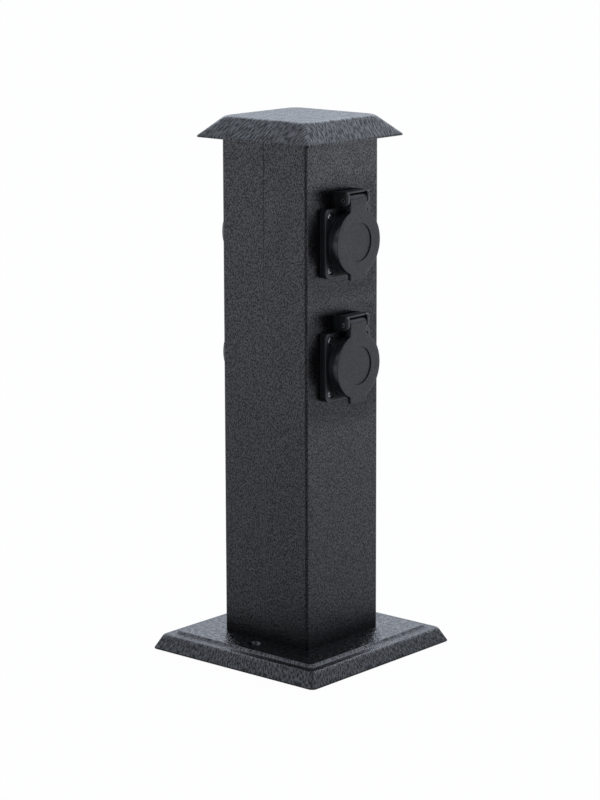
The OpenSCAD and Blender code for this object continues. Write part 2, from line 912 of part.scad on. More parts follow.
module neutral_wires() {
    color("#2f5ea8")
        pole_wires(1, clamp_out, 0);
}

module earth_wires() {
    color("#4f9a3a")
        pole_wires(0, earth_out, earth_drop);
}

module flange_screws() {
    color("#9a9da1")
        for (i = [0:3])
            at_outlet(i)
                flange_screw_places()
                    translate([0, 0, flange_front - head_room / 2])
                        screw(flange_screw, flange_front + tube_wall + flange_screw_past);
}

module insert_screws() {
    color("#9a9da1")
        for (i = [0:3])
            at_outlet(i)
                translate([0, 0, well_floor - slip / 2])
                    screw(insert_screw, well_floor - strap_back + insert_screw_past);
}

module contact_clamp_screws() {
    reach = clamp_t / 2 - core_d / 2 - slip;
    color("#b9bbbd")
        for (i = [0:3])
            at_outlet(i) {
                for (s = [-1, 1])
                    translate([s * clamp_x, 0, clamp_back - clamp_screw[1]])
                        rotate([180, 0, 0])
                            screw(clamp_screw, clamp_screw[1] + reach);
                translate([0, -earth_drop, earth_back - clamp_screw[1]])
                    rotate([180, 0, 0])
                        screw(clamp_screw, clamp_screw[1] + reach);
            }
}

// Outlet pieces
module flange_gasket() {
    color("#1b1b1c")
        difference() {
            linear_extrude(gasket_t)
                round_square(flange_w, flange_r);
            translate([0, 0, -cut])
                cylinder(d = cutout_d, h = gasket_t + 2 * cut);
            flange_screw_places()
                translate([0, 0, gasket_t + cut])
                    shank_hole(flange_screw, gasket_t + 2 * cut, slip);
        }
}

// Side outline of a hinge ear, as distance out and height
module ear_outline() {
    foot = flange_w / 2 - ear_foot;
    square_top = hood_top - hood_r;
    circle_at = [hood_front - hood_r, square_top];
    translate([axis_out, hinge_rise])
        circle(ear_r);
    translate(circle_at)
        circle(hood_r);
    translate([flange_front - cut, hinge_rise])
        square([circle_at[0] - flange_front + cut, hood_top - hinge_rise]);
    translate([flange_front - cut, hinge_rise])
        square([hood_front - flange_front + cut, square_top - hinge_rise]);
    polygon([
        [flange_front - cut, foot],
        [flange_front, foot],
        [axis_out, hinge_rise] - ear_r * ear_waist,
        [axis_out, hinge_rise],
        [flange_front - cut, hinge_rise]
    ]);
}

module hinge_hood() {
    back_top = hood_top - flange_w / 2 + 1;
    for (s = [-1, 1])
        translate([s * (ear_in + ear_t / 2), 0, 0])
            across(ear_t)
                ear_outline();
    translate([-hood_half, flange_w / 2 - 1, gasket_t])
        cube([2 * hood_half, back_top, flange_t]);
    translate([-hood_half, flange_w / 2 + slip / 2, 0])
        cube([2 * hood_half, hood_top - flange_w / 2 - slip / 2, gasket_t + cut]);
    translate([-hood_half + ear_t / 2, hood_under, gasket_t])
        cube([2 * hood_half - ear_t, hood_t, axis_out + hood_reach - gasket_t]);
}

module socket_housing() {
    head_sunk = flange_screw[1] + head_room / 2;
    color("#17181a")
        difference() {
            union() {
                translate([0, 0, gasket_t])
                    linear_extrude(flange_t)
                        round_square(flange_w, flange_r);
                cylinder(d = collar_d, h = rim);
                hinge_hood();
                translate([0, 0, barrel_back])
                    cylinder(d = barrel_d, h = gasket_t + flange_t / 2 - barrel_back);
            }
            difference() {
                translate([0, 0, -cut])
                    cylinder(d = collar_d + 2 * cut, h = gasket_t + cut);
                translate([0, 0, -2 * cut])
                    cylinder(d = barrel_d, h = gasket_t + 4 * cut);
            }
            translate([0, 0, insert_back])
                cylinder(d = well_d, h = rim - insert_back + cut);
            translate([0, 0, rim - mouth_h])
                cylinder(d = mouth_d, h = mouth_h + cut);
            flange_screw_places() {
                translate([0, 0, flange_front - head_sunk])
                    cylinder(d = flange_screw[0] + head_room, h = head_sunk + cut, $fn = 48);
                translate([0, 0, flange_front])
                    shank_hole(flange_screw, flange_t + cut, slip);
            }
            translate([0, hinge_rise, axis_out])
                rotate([0, 90, 0])
                    cylinder(d = pin_d + 2 * snug, h = 2 * hood_half + 2 * cut, center = true, $fn = 48);
            rear_openings(barrel_back - cut, rear_wall + 2 * cut);
            for (s = [-1, 1])
                translate([s * pin_pitch / 2, 0, barrel_back - cut])
                    cylinder(d = tower_d + 2 * slip, h = rear_wall + 2 * cut, $fn = 48);
        }
}

// Slots for the earth strap's arms and the hole of the middle screw
module rear_openings(from, length) {
    slot = strap_t + 2 * slip;
    for (s = [-1, 1])
        translate([-strap_w / 2 - slip, s * clip_rise - slot / 2, from])
            cube([strap_w + 2 * slip, slot, length]);
    translate([0, 0, from])
        cylinder(d = insert_screw[2] + 2 * slip, h = length, $fn = 48);
}

module contact_insert() {
    entry_d = sleeve_bore + 2 * slip;
    seat_l = sleeve_front - tower_back + slip / 2;
    color("#232426")
        difference() {
            union() {
                translate([0, 0, insert_back])
                    cylinder(d = well_d - slip, h = insert_t);
                for (s = [-1, 1])
                    translate([s * pin_pitch / 2, 0, tower_back])
                        cylinder(d = tower_d, h = tower_l + insert_t / 2, $fn = 48);
            }
            for (s = [-1, 1])
                translate([s * pin_pitch / 2, 0, 0]) {
                    translate([0, 0, tower_back - cut])
                        cylinder(d = sleeve_d + slip, h = seat_l + cut, $fn = 48);
                    translate([0, 0, sleeve_front - cut])
                        cylinder(d = entry_d, h = well_floor - sleeve_front + 2 * cut, $fn = 48);
                }
            translate([0, 0, well_floor - insert_screw[1] - slip / 2])
                cylinder(d = insert_screw[0] + head_room, h = insert_screw[1] + cut, $fn = 48);
            rear_openings(insert_back - cut, insert_t + 2 * cut);
        }
}

module pin_contacts() {
    color("#c8a24c")
        for (s = [-1, 1])
            difference() {
                union() {
                    translate([s * pin_pitch / 2, 0, sleeve_back])
                        cylinder(d = sleeve_d, h = sleeve_l, $fn = 48);
                    translate([s * (pin_pitch / 2 + (clamp_side + clamp_w / 2) / 2), 0, clamp_out])
                        cube([clamp_side + clamp_w / 2, clamp_w, clamp_t], center = true);
                }
                translate([s * pin_pitch / 2, 0, sleeve_back - cut])
                    cylinder(d = sleeve_bore, h = sleeve_l + 2 * cut, $fn = 48);
                clamp_holes([s * clamp_x, 0, clamp_out]);
            }
}

// Upright wire hole and rear screw hole of a clamp block
module clamp_holes(centre) {
    translate(centre) {
        rotate([90, 0, 0])
            cylinder(d = core_d + 2 * slip, h = clamp_w + 2 * cut, center = true, $fn = 48);
        translate([0, 0, -clamp_t])
            cylinder(d = clamp_screw[2] + 2 * snug, h = clamp_t, $fn = 48);
    }
}

// Side outline of the upper earth clip, as distance out and height
module clip_outline() {
    t = strap_t / 2;
    line = concat(
        [[strap_back, clip_rise]],
        [for (bend = clip_bends) [well_floor, clip_rise] + bend]
    );
    polygon(concat(
        [for (p = line) p + [0, t]],
        [for (i = [len(line) - 1:-1:0]) line[i] - [0, t]]
    ));
}

module earth_strap() {
    color("#b9bbbd")
        difference() {
            union() {
                translate([-strap_w / 2, -clip_rise - strap_t / 2, strap_back])
                    cube([strap_w, 2 * clip_rise + strap_t, strap_t]);
                across(strap_w)
                    clip_outline();
                mirror([0, 1, 0])
                    across(strap_w)
                        clip_outline();
                translate([0, -earth_drop, earth_out])
                    cube([clamp_w, clamp_w, clamp_t], center = true);
            }
            translate([0, 0, strap_back - cut])
                cylinder(d = insert_screw[2] + 2 * snug, h = strap_t + 2 * cut, $fn = 48);
            clamp_holes([0, -earth_drop, earth_out]);
        }
}

module lid() {
    seal_mid = (collar_d + mouth_d) / 4;
    neck_low = sqrt(pow(lid_d / 2, 2) - pow(neck_w / 2, 2)) - 1;
    tab_high = sqrt(pow(lid_d / 2, 2) - pow(tab_w / 2, 2)) - 1;
    color("#46484c")
        difference() {
            union() {
                translate([0, 0, lid_back])
                    cylinder(d = lid_d, h = lid_t);
                difference() {
                    translate([0, 0, lid_back - skirt_h])
                        cylinder(d = lid_d, h = skirt_h + lid_t / 2);
                    translate([0, 0, lid_back - skirt_h - cut])
                        cylinder(r = skirt_in, h = skirt_h + cut);
                }
                translate([-neck_w / 2, neck_low, lid_back])
                    cube([neck_w, hinge_rise - neck_low, lid_t]);
                translate([-tab_w / 2, -tab_drop, lid_front - tab_t])
                    cube([tab_w, tab_drop - tab_high, tab_t]);
                translate([0, hinge_rise, axis_out])
                    rotate([0, 90, 0])
                        cylinder(r = knuckle_r, h = neck_w, center = true);
            }
            translate([0, 0, lid_front - recess_h])
                cylinder(d = recess_d, h = recess_h + cut);
            translate([0, 0, lid_back - cut])
                seal_ring(seal_mid, seal_w + slip / 2, seal_t - lid_gap + snug + cut);
            translate([0, hinge_rise, axis_out])
                rotate([0, 90, 0]) {
                    cylinder(d = pin_d + 2 * running, h = neck_w + 2 * cut, center = true, $fn = 48);
                    cylinder(r = pocket_r, h = pocket_w, center = true, $fn = 48);
                }
            translate([-pocket_w / 2, hinge_rise - pocket_r, axis_out - knuckle_r - cut])
                cube([pocket_w, 2 * pocket_r, knuckle_r + cut]);
        }
}

module seal_ring(mid, w, h) {
    difference() {
        cylinder(r = mid + w / 2, h = h);
        translate([0, 0, -cut])
            cylinder(r = mid - w / 2, h = h + 2 * cut);
    }
}

module lid_seal() {
    color("#1b1b1c")
        translate([0, 0, rim + lid_gap / 2])
            seal_ring((collar_d + mouth_d) / 4, seal_w, seal_t - lid_gap / 2);
}

module hinge_pin() {
    length = 2 * hood_half;
    color("#55575a")
        translate([0, hinge_rise, axis_out])
            rotate([0, 90, 0])
                difference() {
                    cylinder(d = pin_d, h = length, center = true, $fn = 48);
                    cylinder(d = pin_hole_d, h = length + 2 * cut, center = true, $fn = 48);
                }
}

module lid_spring() {
    color("#9a9da1")
        translate([0, hinge_rise, axis_out])
            swept(spring_path, [for (p = spring_path) spring_wire / 2], 6, [1, 0, 0]);
}

post_tube();
top_cap();
base();
foot_angles();
foot_screws();
gland_body();
gland_locknut();
gland_seal();
gland_dome_nut();
terminal_block();
terminal_sleeves();
terminal_clamp_screws();
terminal_block_screws();
earth_screw();
bonding_wire();
live_wires();
neutral_wires();
earth_wires();
flange_screws();
insert_screws();
contact_clamp_screws();
for (i = [0:3]) {
    at_outlet(i) flange_gasket();
    at_outlet(i) socket_housing();
    at_outlet(i) contact_insert();
    at_outlet(i) pin_contacts();
    at_outlet(i) earth_strap();
    at_outlet(i) lid();
    at_outlet(i) lid_seal();
    at_outlet(i) hinge_pin();
    at_outlet(i) lid_spring();
}
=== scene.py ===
# %% [markdown]
# # A garden socket post
# A square powder-coated steel tube stands on a moulded base under a roof-like cap. Two opposite
# faces carry two socket outlets each, and every outlet has a sprung round lid.
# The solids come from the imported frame. This lesson dresses them: pieces whose edges catch the
# light are worked out again as smooth surfaces, and the rest keep their mesh and get a finish.

# %% Load the frame
import json
import math
from functools import partial

import bmesh
import bpy
import numpy as np
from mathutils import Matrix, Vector


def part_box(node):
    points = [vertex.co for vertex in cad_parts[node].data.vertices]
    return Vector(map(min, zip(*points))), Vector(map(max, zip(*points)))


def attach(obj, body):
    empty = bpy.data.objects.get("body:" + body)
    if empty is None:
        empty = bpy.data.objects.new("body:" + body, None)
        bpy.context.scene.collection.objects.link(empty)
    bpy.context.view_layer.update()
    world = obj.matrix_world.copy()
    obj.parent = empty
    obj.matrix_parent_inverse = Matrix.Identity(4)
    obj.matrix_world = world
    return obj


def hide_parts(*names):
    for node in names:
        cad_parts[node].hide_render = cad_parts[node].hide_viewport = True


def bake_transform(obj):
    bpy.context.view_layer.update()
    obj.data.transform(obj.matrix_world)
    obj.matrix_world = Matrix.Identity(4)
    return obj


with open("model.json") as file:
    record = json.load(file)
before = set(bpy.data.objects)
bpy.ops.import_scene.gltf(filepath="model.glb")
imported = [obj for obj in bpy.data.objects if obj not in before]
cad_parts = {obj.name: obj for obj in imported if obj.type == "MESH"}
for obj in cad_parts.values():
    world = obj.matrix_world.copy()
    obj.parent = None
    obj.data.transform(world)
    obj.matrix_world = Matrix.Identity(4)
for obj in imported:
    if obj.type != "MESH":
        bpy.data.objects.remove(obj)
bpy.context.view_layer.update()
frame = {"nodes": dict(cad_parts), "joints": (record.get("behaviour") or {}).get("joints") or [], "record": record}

MM = 0.001


def mm(*lengths):
    """Lengths in millimetres, as metres."""
    return [length * MM for length in lengths]


# %% [markdown]
# ## Where things are
# A drawing would give every place twice, once for the solid and once for the picture. Here the
# places are read from the frame, so a piece always sits on what carries it. Each outlet has its own
# small frame: x to the right, y up and z straight out of the tube's face.

# %% Places read from the frame
tube_low, tube_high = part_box("post_tube")
cap_low, cap_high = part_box("top_cap")
HALF, PANEL_Z = tube_high.x, tube_low.z
CAP_HALF, POST_TOP = cap_high.x, cap_high.z
BASE_HALF, CARRIER_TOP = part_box("base")[1].x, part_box("base")[1].z
outlets = {m["name"].removeprefix("outlet_"): (m["axis"][1], m["pos_m"][2])
           for m in frame["record"]["mounts"] if m["name"].startswith("outlet_")}
PLACES = list(outlets)
hinges = {j["name"]: j["pos_m"] for j in frame["joints"]}
hinge_at = hinges[f"{PLACES[0]}_lid_hinge"]
AXIS_OUT = abs(hinge_at[1]) - HALF
HINGE_RISE = hinge_at[2] - outlets[PLACES[0]][1]


def on_post(points, place):
    """Carries points from an outlet's own frame to the post: right turns with the face, up is Z,
    and out is added to half the tube's width along the face's normal."""
    side, height = outlets[place]
    x, y, z = np.moveaxis(np.asarray(points, float), -1, 0)
    return np.stack([-side * x, side * (HALF + z), height + y], axis=-1)


print("outlets", PLACES)
print("hinge axis", round(AXIS_OUT / MM, 2), "mm out,", round(HINGE_RISE / MM, 2), "mm up")

# %% [markdown]
# ## The camera
# The picture was taken from the front left and from above, with a long lens. A camera that looks down
# makes uprights lean towards each other, and in the picture they hardly do. A shifted lens holds them
# upright, but it would push the post out of the frame as soon as the camera goes round it. So the lens
# is shifted only a little. The numbers come from fitting the edges of the tube, base and cap.

# %% Camera
def new_object(name, data):
    """Puts an object into the scene, at the origin."""
    made = bpy.data.objects.new(name, data)
    bpy.context.collection.objects.link(made)
    return made


AZIMUTH = math.radians(49.094)
AWAY, HEIGHT = 1.9227, 0.5954
PITCH_DOWN = math.radians(10.648)
FOCAL = 3.35
SIDE_SHIFT, DOWN_SHIFT = -0.05, -0.08
camera = new_object("camera", bpy.data.cameras.new("camera"))
camera.location = (-math.sin(AZIMUTH) * AWAY, -math.cos(AZIMUTH) * AWAY, HEIGHT)
past = AZIMUTH - math.atan(SIDE_SHIFT / FOCAL)
ahead = Vector((math.sin(past), math.cos(past), -math.tan(PITCH_DOWN)))
camera.rotation_mode = "QUATERNION"
camera.rotation_quaternion = ahead.to_track_quat("-Z", "Y")
camera.data.sensor_width = 36
camera.data.lens = FOCAL * camera.data.sensor_width
camera.data.shift_x, camera.data.shift_y = SIDE_SHIFT, DOWN_SHIFT
scene = bpy.context.scene
scene.camera = camera
print("camera at", [round(c, 3) for c in camera.location])

# %% [markdown]
# ## Surfaces from grids
# A mesh could be drawn point by point, or cut from solids. A grid is easier to reason about: a shape
# is a function of two parameters, numpy works out all its points at once, and neighbours in the grid
# make the faces. A row may shrink to one point (a pole) and the last column may fall on the first
# (a seam). Merging equal points closes both.

# %% Grid helpers
MERGE_DISTANCE = 2e-6


def grid_faces(rows, cols):
    """Quads of a grid: each joins a point, the next one in its row, and the two below them."""
    r, c = np.meshgrid(np.arange(rows - 1), np.arange(cols - 1), indexing="ij")
    a = r * cols + c
    return np.stack([a, a + 1, a + cols + 1, a + cols], axis=-1).reshape(-1, 4)


def closed(points):
    """Repeats the first column after the last one, so that the grid runs all the way round."""
    return np.concatenate([points, points[:, :1]], axis=1)


def make_piece(name, surfaces, slot, body, nodes, sharp=38, finish=None):
    """Puts grids of points, each with an optional grid of UV places, into one mesh. Equal points are
    merged, faces are turned outwards, and edges sharper than an angle stay sharp. The finish is the
    slot's own, unless another one is named."""
    sizes = [s[0].shape[:2] for s in surfaces]
    starts = np.concatenate([[0], np.cumsum([r * c for r, c in sizes])])
    points = np.concatenate([s[0].reshape(-1, 3) for s in surfaces])
    uv = np.concatenate([(s[1] if len(s) > 1 else s[0][..., :2]).reshape(-1, 2) for s in surfaces])
    faces = np.concatenate([grid_faces(r, c) + start for (r, c), start in zip(sizes, starts)])
    mesh = bpy.data.meshes.new(name)
    mesh.from_pydata(points.tolist(), [], faces.tolist())
    layer = mesh.uv_layers.new(name="surface")
    layer.data.foreach_set("uv", uv[faces.ravel()].astype(np.float32).ravel())
    bm = bmesh.new()
    bm.from_mesh(mesh)
    bmesh.ops.remove_doubles(bm, verts=bm.verts, dist=MERGE_DISTANCE)
    bmesh.ops.recalc_face_normals(bm, faces=bm.faces)
    open_edges = sum(e.is_boundary for e in bm.edges)
    bm.to_mesh(mesh)
    bm.free()
    mesh.shade_smooth()
    mesh.set_sharp_from_angle(angle=math.radians(sharp))
    mesh.materials.append(finishes[finish or slot])
    piece = new_object(name, mesh)
    if body:
        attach(piece, body)
    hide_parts(*nodes)
    print(f"{name}: {len(mesh.polygons)} faces, {open_edges} open edges")
    return piece


# %% Profile helpers
def polar(reach, angles):
    """Flat points at the given distances and angles."""
    return np.stack([reach * np.cos(angles), reach * np.sin(angles)], axis=-1)


def unit(vectors):
    """Vectors of the same direction with length 1."""
    return vectors / np.linalg.norm(vectors, axis=-1, keepdims=True)


def arc(centre, radius, start, stop, steps):
    """Points of an arc about a centre, from one angle in degrees to another."""
    return np.asarray(centre) + polar(radius, np.radians(np.linspace(start, stop, steps + 1)))


def rounded_edge(radius, points):
    """How far points along a quarter circle lie inside an edge, and how far below its face."""
    a = np.radians(np.linspace(0, 90, points))
    return radius * (1 - np.sin(a)), radius * (1 - np.cos(a))


def square_rings(half, corner, corner_steps=8, side_steps=16):
    """Rounded rectangles, one per row: a corner's centre lies corner inside both half widths, a
    quarter arc of that radius goes round it, and straight points lead to the next corner's arc.
    Each ring starts in the middle of the corner before the +X side."""
    half = np.broadcast_to(np.asarray(half, float).reshape(len(half), -1), (len(half), 2))
    corner = np.asarray(corner, float)[:, None, None]
    signs = np.array([[1, -1], [1, 1], [-1, 1], [-1, -1]], float)
    ahead = np.roll(signs, -1, axis=0)
    quarter = np.arange(4)[:, None] * 90 - 90
    turn = quarter + np.linspace(0, 90, corner_steps + 1)
    along = np.arange(1, side_steps)[None, :, None] / side_steps
    sides = signs[:, None] * (1 - along) + ahead[:, None] * along
    corners = np.repeat(signs[:, None], corner_steps + 1, axis=1)
    sign = np.concatenate([corners, sides], axis=1).reshape(-1, 2)
    angle = np.concatenate([turn, np.repeat(quarter + 90, side_steps - 1, axis=1)], axis=1).ravel()
    rings = sign * (half[:, None] - corner) + corner * polar(1, np.radians(angle))
    return np.roll(rings, -(corner_steps // 2), axis=1)


def raised(rings, heights):
    """Gives each ring of flat points its height."""
    z = np.broadcast_to(np.asarray(heights, float)[:, None, None], rings.shape[:2] + (1,))
    return np.concatenate([rings, z], axis=-1)


def lengths_along(points, axis=0):
    """Distance walked from the first point of a line to each of its points."""
    steps = np.diff(points, axis=axis, prepend=np.take(points, [0], axis))
    return np.cumsum(np.linalg.norm(steps, axis=-1), axis=axis)


def slab(low, high, edge):
    """Closed block: rounded rectangles stacked along z, drawn in along a quarter circle at both
    ends so that all twelve edges are round."""
    low, high = np.asarray(low, float), np.asarray(high, float)
    inset, drop = rounded_edge(edge, 4)
    inset = np.concatenate([[edge], inset, inset[::-1], [edge]])
    z = np.concatenate([[low[2]], low[2] + drop, high[2] - drop[::-1], [high[2]]])
    half = (high - low)[:2] / 2 - inset[:, None]
    half[[0, -1]] = 0
    corner = np.maximum(edge - inset, 0)
    rings = square_rings(half, corner, corner_steps=4, side_steps=2)
    return closed(raised(rings + ((high + low) / 2)[:2], z))


def turned(profile, angles):
    """Carries a profile of (radius, height) round the z axis through the given angles."""
    r, z = np.asarray(profile, float).T[..., None]
    return np.stack([r * np.cos(angles), r * np.sin(angles), z + 0 * angles], axis=-1)


def between(first, last, rows):
    """Rows of points on straight lines from one row to another."""
    t = np.linspace(0, 1, rows)[:, None, None]
    return first + t * (last - first)


def facing(outline, centre, radius):
    """The point of a circle that lies in the same direction from its centre as each outline point."""
    return centre + radius * unit(outline - centre)


whole_turn = np.linspace(0, 2 * math.pi, 97)
print("a ring has", square_rings([1.0], [0.1]).shape[1], "points")

# %% [markdown]
# ## Grain
# Every finish on this post has some texture: the coat on the steel is finely mottled, the mouldings
# have a leathery relief, and the lids a dull spark-eroded skin. A picture of a texture would stretch
# and end at its border. Noise that is worked out in space has no border and keeps its real size, so
# one node group makes the grain, and each finish sets how coarse it is. Two more groups give the
# handling marks, and the places where the coat on the tube differs: the weld seam is dull at the top
# and filled with coat further down, and painted shade dulls the coat at the tube's foot and round the outlets.

# %% Node helpers
def put(value, socket):
    """Links a socket to an input, or writes a plain value into it."""
    if isinstance(value, bpy.types.NodeSocket):
        socket.id_data.links.new(value, socket)
    else:
        socket.default_value = value


def add_node(kind, settings, *inputs, **named):
    """Adds a node to the tree of the first socket among its inputs, sets its fields, and fills its
    inputs in order or by name."""
    given = [*enumerate(inputs), *named.items()]
    tree = next(value.id_data for _, value in given if isinstance(value, bpy.types.NodeSocket))
    node = tree.nodes.new(kind)
    for field, value in settings.items():
        setattr(node, field, value)
    for key, value in given:
        put(value, node.inputs[key])
    return node


def calc(operation, a, b=0.0):
    """One step of arithmetic on numbers or sockets."""
    return add_node("ShaderNodeMath", {"operation": operation}, a, b).outputs[0]


def times(value, *factors):
    """A value times one factor after another."""
    for factor in factors:
        value = calc("MULTIPLY", value, factor)
    return value


def rest_of(share):
    """What a share leaves of 1."""
    return calc("SUBTRACT", 1.0, share)


def vector_math(operation, *vectors):
    """One step of arithmetic on vectors; a length or a dot product comes out as a number."""
    node = add_node("ShaderNodeVectorMath", {"operation": operation}, *vectors)
    return node.outputs["Value" if operation in ("LENGTH", "DOT_PRODUCT") else "Vector"]


def split(vector):
    """The x, y and z of a vector."""
    return add_node("ShaderNodeSeparateXYZ", {}, vector).outputs[:]


def fade(value, start, stop, first, last, course="LINEAR"):
    """Runs from one level to another while a value goes from start to stop."""
    settings = {"interpolation_type": course}
    return add_node("ShaderNodeMapRange", settings, value, start, stop, first, last).outputs[0]


def mixed(share, first, last):
    """Goes from one colour to another with a share."""
    node = add_node("ShaderNodeMix", {"data_type": "RGBA"}, share)
    put((*first, 1), node.inputs[6])
    put((*last, 1), node.inputs[7])
    return node.outputs[2]


def noise(vector, scale, detail, rough):
    """Fractal noise from 0 to 1."""
    node = add_node("ShaderNodeTexNoise", {}, vector, Scale=scale, Detail=detail, Roughness=rough)
    return node.outputs[0]


def beyond(value, low, high):
    """How far a value lies outside a range, and 0 within it."""
    off_middle = calc("ABSOLUTE", calc("SUBTRACT", value, (low + high) / 2))
    return calc("MAXIMUM", calc("SUBTRACT", off_middle, (high - low) / 2))


def node_group(name, inputs, outputs):
    """Makes a shader node group with a vector input, float inputs and float outputs."""
    group = bpy.data.node_groups.new(name, "ShaderNodeTree")
    sockets = group.interface
    sockets.new_socket("Vector", in_out="INPUT", socket_type="NodeSocketVector")
    for label, value in inputs.items():
        sockets.new_socket(label, in_out="INPUT", socket_type="NodeSocketFloat").default_value = value
    for label in outputs:
        sockets.new_socket(label, in_out="OUTPUT", socket_type="NodeSocketFloat")
    given, result = group.nodes.new("NodeGroupInput"), group.nodes.new("NodeGroupOutput")
    return group, given.outputs, result.inputs


# %% Grain, marks, and the tube's lines and painted shade
grain, given, result = node_group(
    "grain", {"Coarse per m": 500.0, "Fine per m": 1500.0, "Fine share": 0.4}, ["Height", "Mottle"])
coarse, fine = [noise(given["Vector"], given[f"{size} per m"], 2.0, 0.5) for size in ("Coarse", "Fine")]
put(calc("ADD", coarse, times(fine, given["Fine share"])), result["Height"])
put(fade(coarse, 0.4, 0.6, 0.0, 1.0), result["Mottle"])

marks, given, result = node_group("handling marks", {"Patches per m": 25.0}, ["Marks"])
patches = noise(given["Vector"], given["Patches per m"], 4.0, 0.6)
put(fade(patches, 0.4, 0.7, 0.0, 1.0), result["Marks"])

SEAM_HALF, SEAM_DULL, SEAM_FILL = 0.5 * MM, 0.3, 0.5
SEAM_FILLED_Z, SEAM_OPEN_Z = tube_high.z - 160 * MM, tube_high.z - 80 * MM
SEAM_FACE = (-HALF + 0.3 * MM, -HALF + 0.4 * MM)
# Painted shade: over the lowest 25 mm of the tube the coat is turned dull, and so darker, most at the panel.
FOOT_SHADE_H, FOOT_PAINTED_SHADE, FOOT_SHADE_POWER = 25 * MM, 0.62, 2.4
# Painted shade: on the faces that carry outlets, the coat is turned dull, and so darker, within 24 mm of the
# gaskets of the outlets on the -Y face.
OUTLET_FACE = (HALF - 0.6 * MM, HALF - 0.2 * MM)
OUTLET_PAINTED_SHADE, SHADE_HALO_NEAR, SHADE_HALO_FAR = 0.36, 10 * MM, 24 * MM
tube_lines_and_shade, given, result = node_group("tube lines", {}, ["Dark", "Filled"])
x, y, z = split(given["Vector"])
from_middle = calc("ABSOLUTE", y)
on_seam = times(fade(from_middle, SEAM_HALF, 2 * SEAM_HALF, 1.0, 0.0), fade(x, *SEAM_FACE, 1.0, 0.0))
put(times(on_seam, fade(z, SEAM_FILLED_Z, SEAM_OPEN_Z, SEAM_FILL, 0.0)), result["Filled"])
dull_seam = times(on_seam, fade(z, SEAM_OPEN_Z, tube_high.z, 0.0, SEAM_DULL))
# Painted shade at the tube's foot.
painted_foot_shade = calc("POWER", fade(z, PANEL_Z, PANEL_Z + FOOT_SHADE_H, 1.0, 0.0), FOOT_SHADE_POWER)
dark = calc("MAXIMUM", dull_seam, times(painted_foot_shade, FOOT_PAINTED_SHADE))
# Painted shade round the outlets.
outlet_face_shade = fade(from_middle, *OUTLET_FACE, 0.0, OUTLET_PAINTED_SHADE)
for place in PLACES:
    low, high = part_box(f"flange_gasket_{place}")
    if outlets[place][0] < 0:
        off = add_node("ShaderNodeCombineXYZ", {}, beyond(x, low.x, high.x), beyond(z, low.z, high.z))
        outlet_shade_halo = fade(vector_math("LENGTH", off.outputs[0]), SHADE_HALO_NEAR, SHADE_HALO_FAR, 1.0, 0.0)
        dark = calc("MAXIMUM", dark, times(outlet_shade_halo, outlet_face_shade))
put(dark, result["Dark"])
print("groups", [g.name for g in bpy.data.node_groups])

# %% [markdown]
# ## Finishes
# Dark plastic and dark paint hardly have a colour of their own: nearly all that we see on them is the
# white room, mirrored faintly and blurred. That is why the tube goes black beside an outlet, where it
# mirrors the outlet's dark side, and a painted shade round the outlets darkens it further. So the
# shades are kept very low, and what tells the finishes apart is gloss and relief: the mottle varies
# how strongly the surface mirrors, the handling marks vary how far it blurs, and the grain's height
# bends the normals.

# %% Finish maker
COAT_IOR = 1.6
MOST_MIRRORED = 2 * ((COAT_IOR - 1) / (COAT_IOR + 1)) ** 2
PANEL_U, CAP_TOP_U = 10.0, 20.0


def grained(name, dark, light, rough, coarse_per_m, fine_per_m, relief_mm, fine_share=0.4,
            stretch=(1, 1, 1), surface=False, metallic=0.0, rough_spread=0.08,
            gloss=(0.04, 0.04), rough_sides=None, lined=False, deep=1.0):
    """Material whose base colour and gloss run between two values with the mottle, whose roughness
    rises with the marks, and whose normal follows the grain; stretch makes the grain longer along an
    axis. Gloss is the share of light that is mirrored head-on. The metallic share turns it down from
    its upper value, because a dark metal mirrors almost nothing head-on. Sides that the UV map marks
    with 1 may have a roughness of their own, a lined coat is dull along the tube's weld seam and has
    painted shade at the tube's foot and round the outlets, and parts that lie far out on the UV map
    have a deeper grain."""
    material = bpy.data.materials.new(name)
    material.use_nodes = True
    nodes = material.node_tree.nodes
    shader = nodes["Principled BSDF"].inputs
    where = nodes.new("ShaderNodeTexCoord").outputs
    place = where["UV" if surface else "Object"]
    stretched = vector_math("MULTIPLY", place, stretch)
    skin = add_node("ShaderNodeGroup", {"node_tree": grain},
                    stretched, coarse_per_m, fine_per_m, fine_share).outputs
    wear = add_node("ShaderNodeGroup", {"node_tree": marks}, place).outputs
    put(mixed(skin["Mottle"], dark, light), shader["Base Color"])
    put(COAT_IOR, shader["IOR"])
    put(gloss[1] / MOST_MIRRORED, shader["Specular IOR Level"])
    put(metallic, shader["Metallic"])
    if gloss[0] < gloss[1]:
        dull = fade(skin["Mottle"], 0.0, 1.0, 1 - gloss[0] / gloss[1], 0.0)
        if lined:
            # Along the seam the coat is dull or filled; at the tube's foot and round the outlets painted shade
            # dulls it.
            lines = add_node("ShaderNodeGroup", {"node_tree": tube_lines_and_shade}, place).outputs
            dull = times(dull, rest_of(lines["Filled"]))
            dull = rest_of(times(rest_of(dull), rest_of(lines["Dark"])))
        put(dull, shader["Metallic"])
    roughness = fade(wear["Marks"], 0.0, 1.0, rough, rough + rough_spread)
    if rough_sides is not None:
        roughness = fade(split(where["UV"])[0], 0.2, 0.8, roughness, rough_sides)
    put(roughness, shader["Roughness"])
    height = skin["Height"]
    if deep > 1:
        height = times(height, fade(split(place)[0], PANEL_U / 2, CAP_TOP_U, 1.0, deep))
    bump = add_node("ShaderNodeBump", {}, Strength=1.0, Distance=relief_mm * MM, Height=height)
    put(bump.outputs[0], shader["Normal"])
    return material


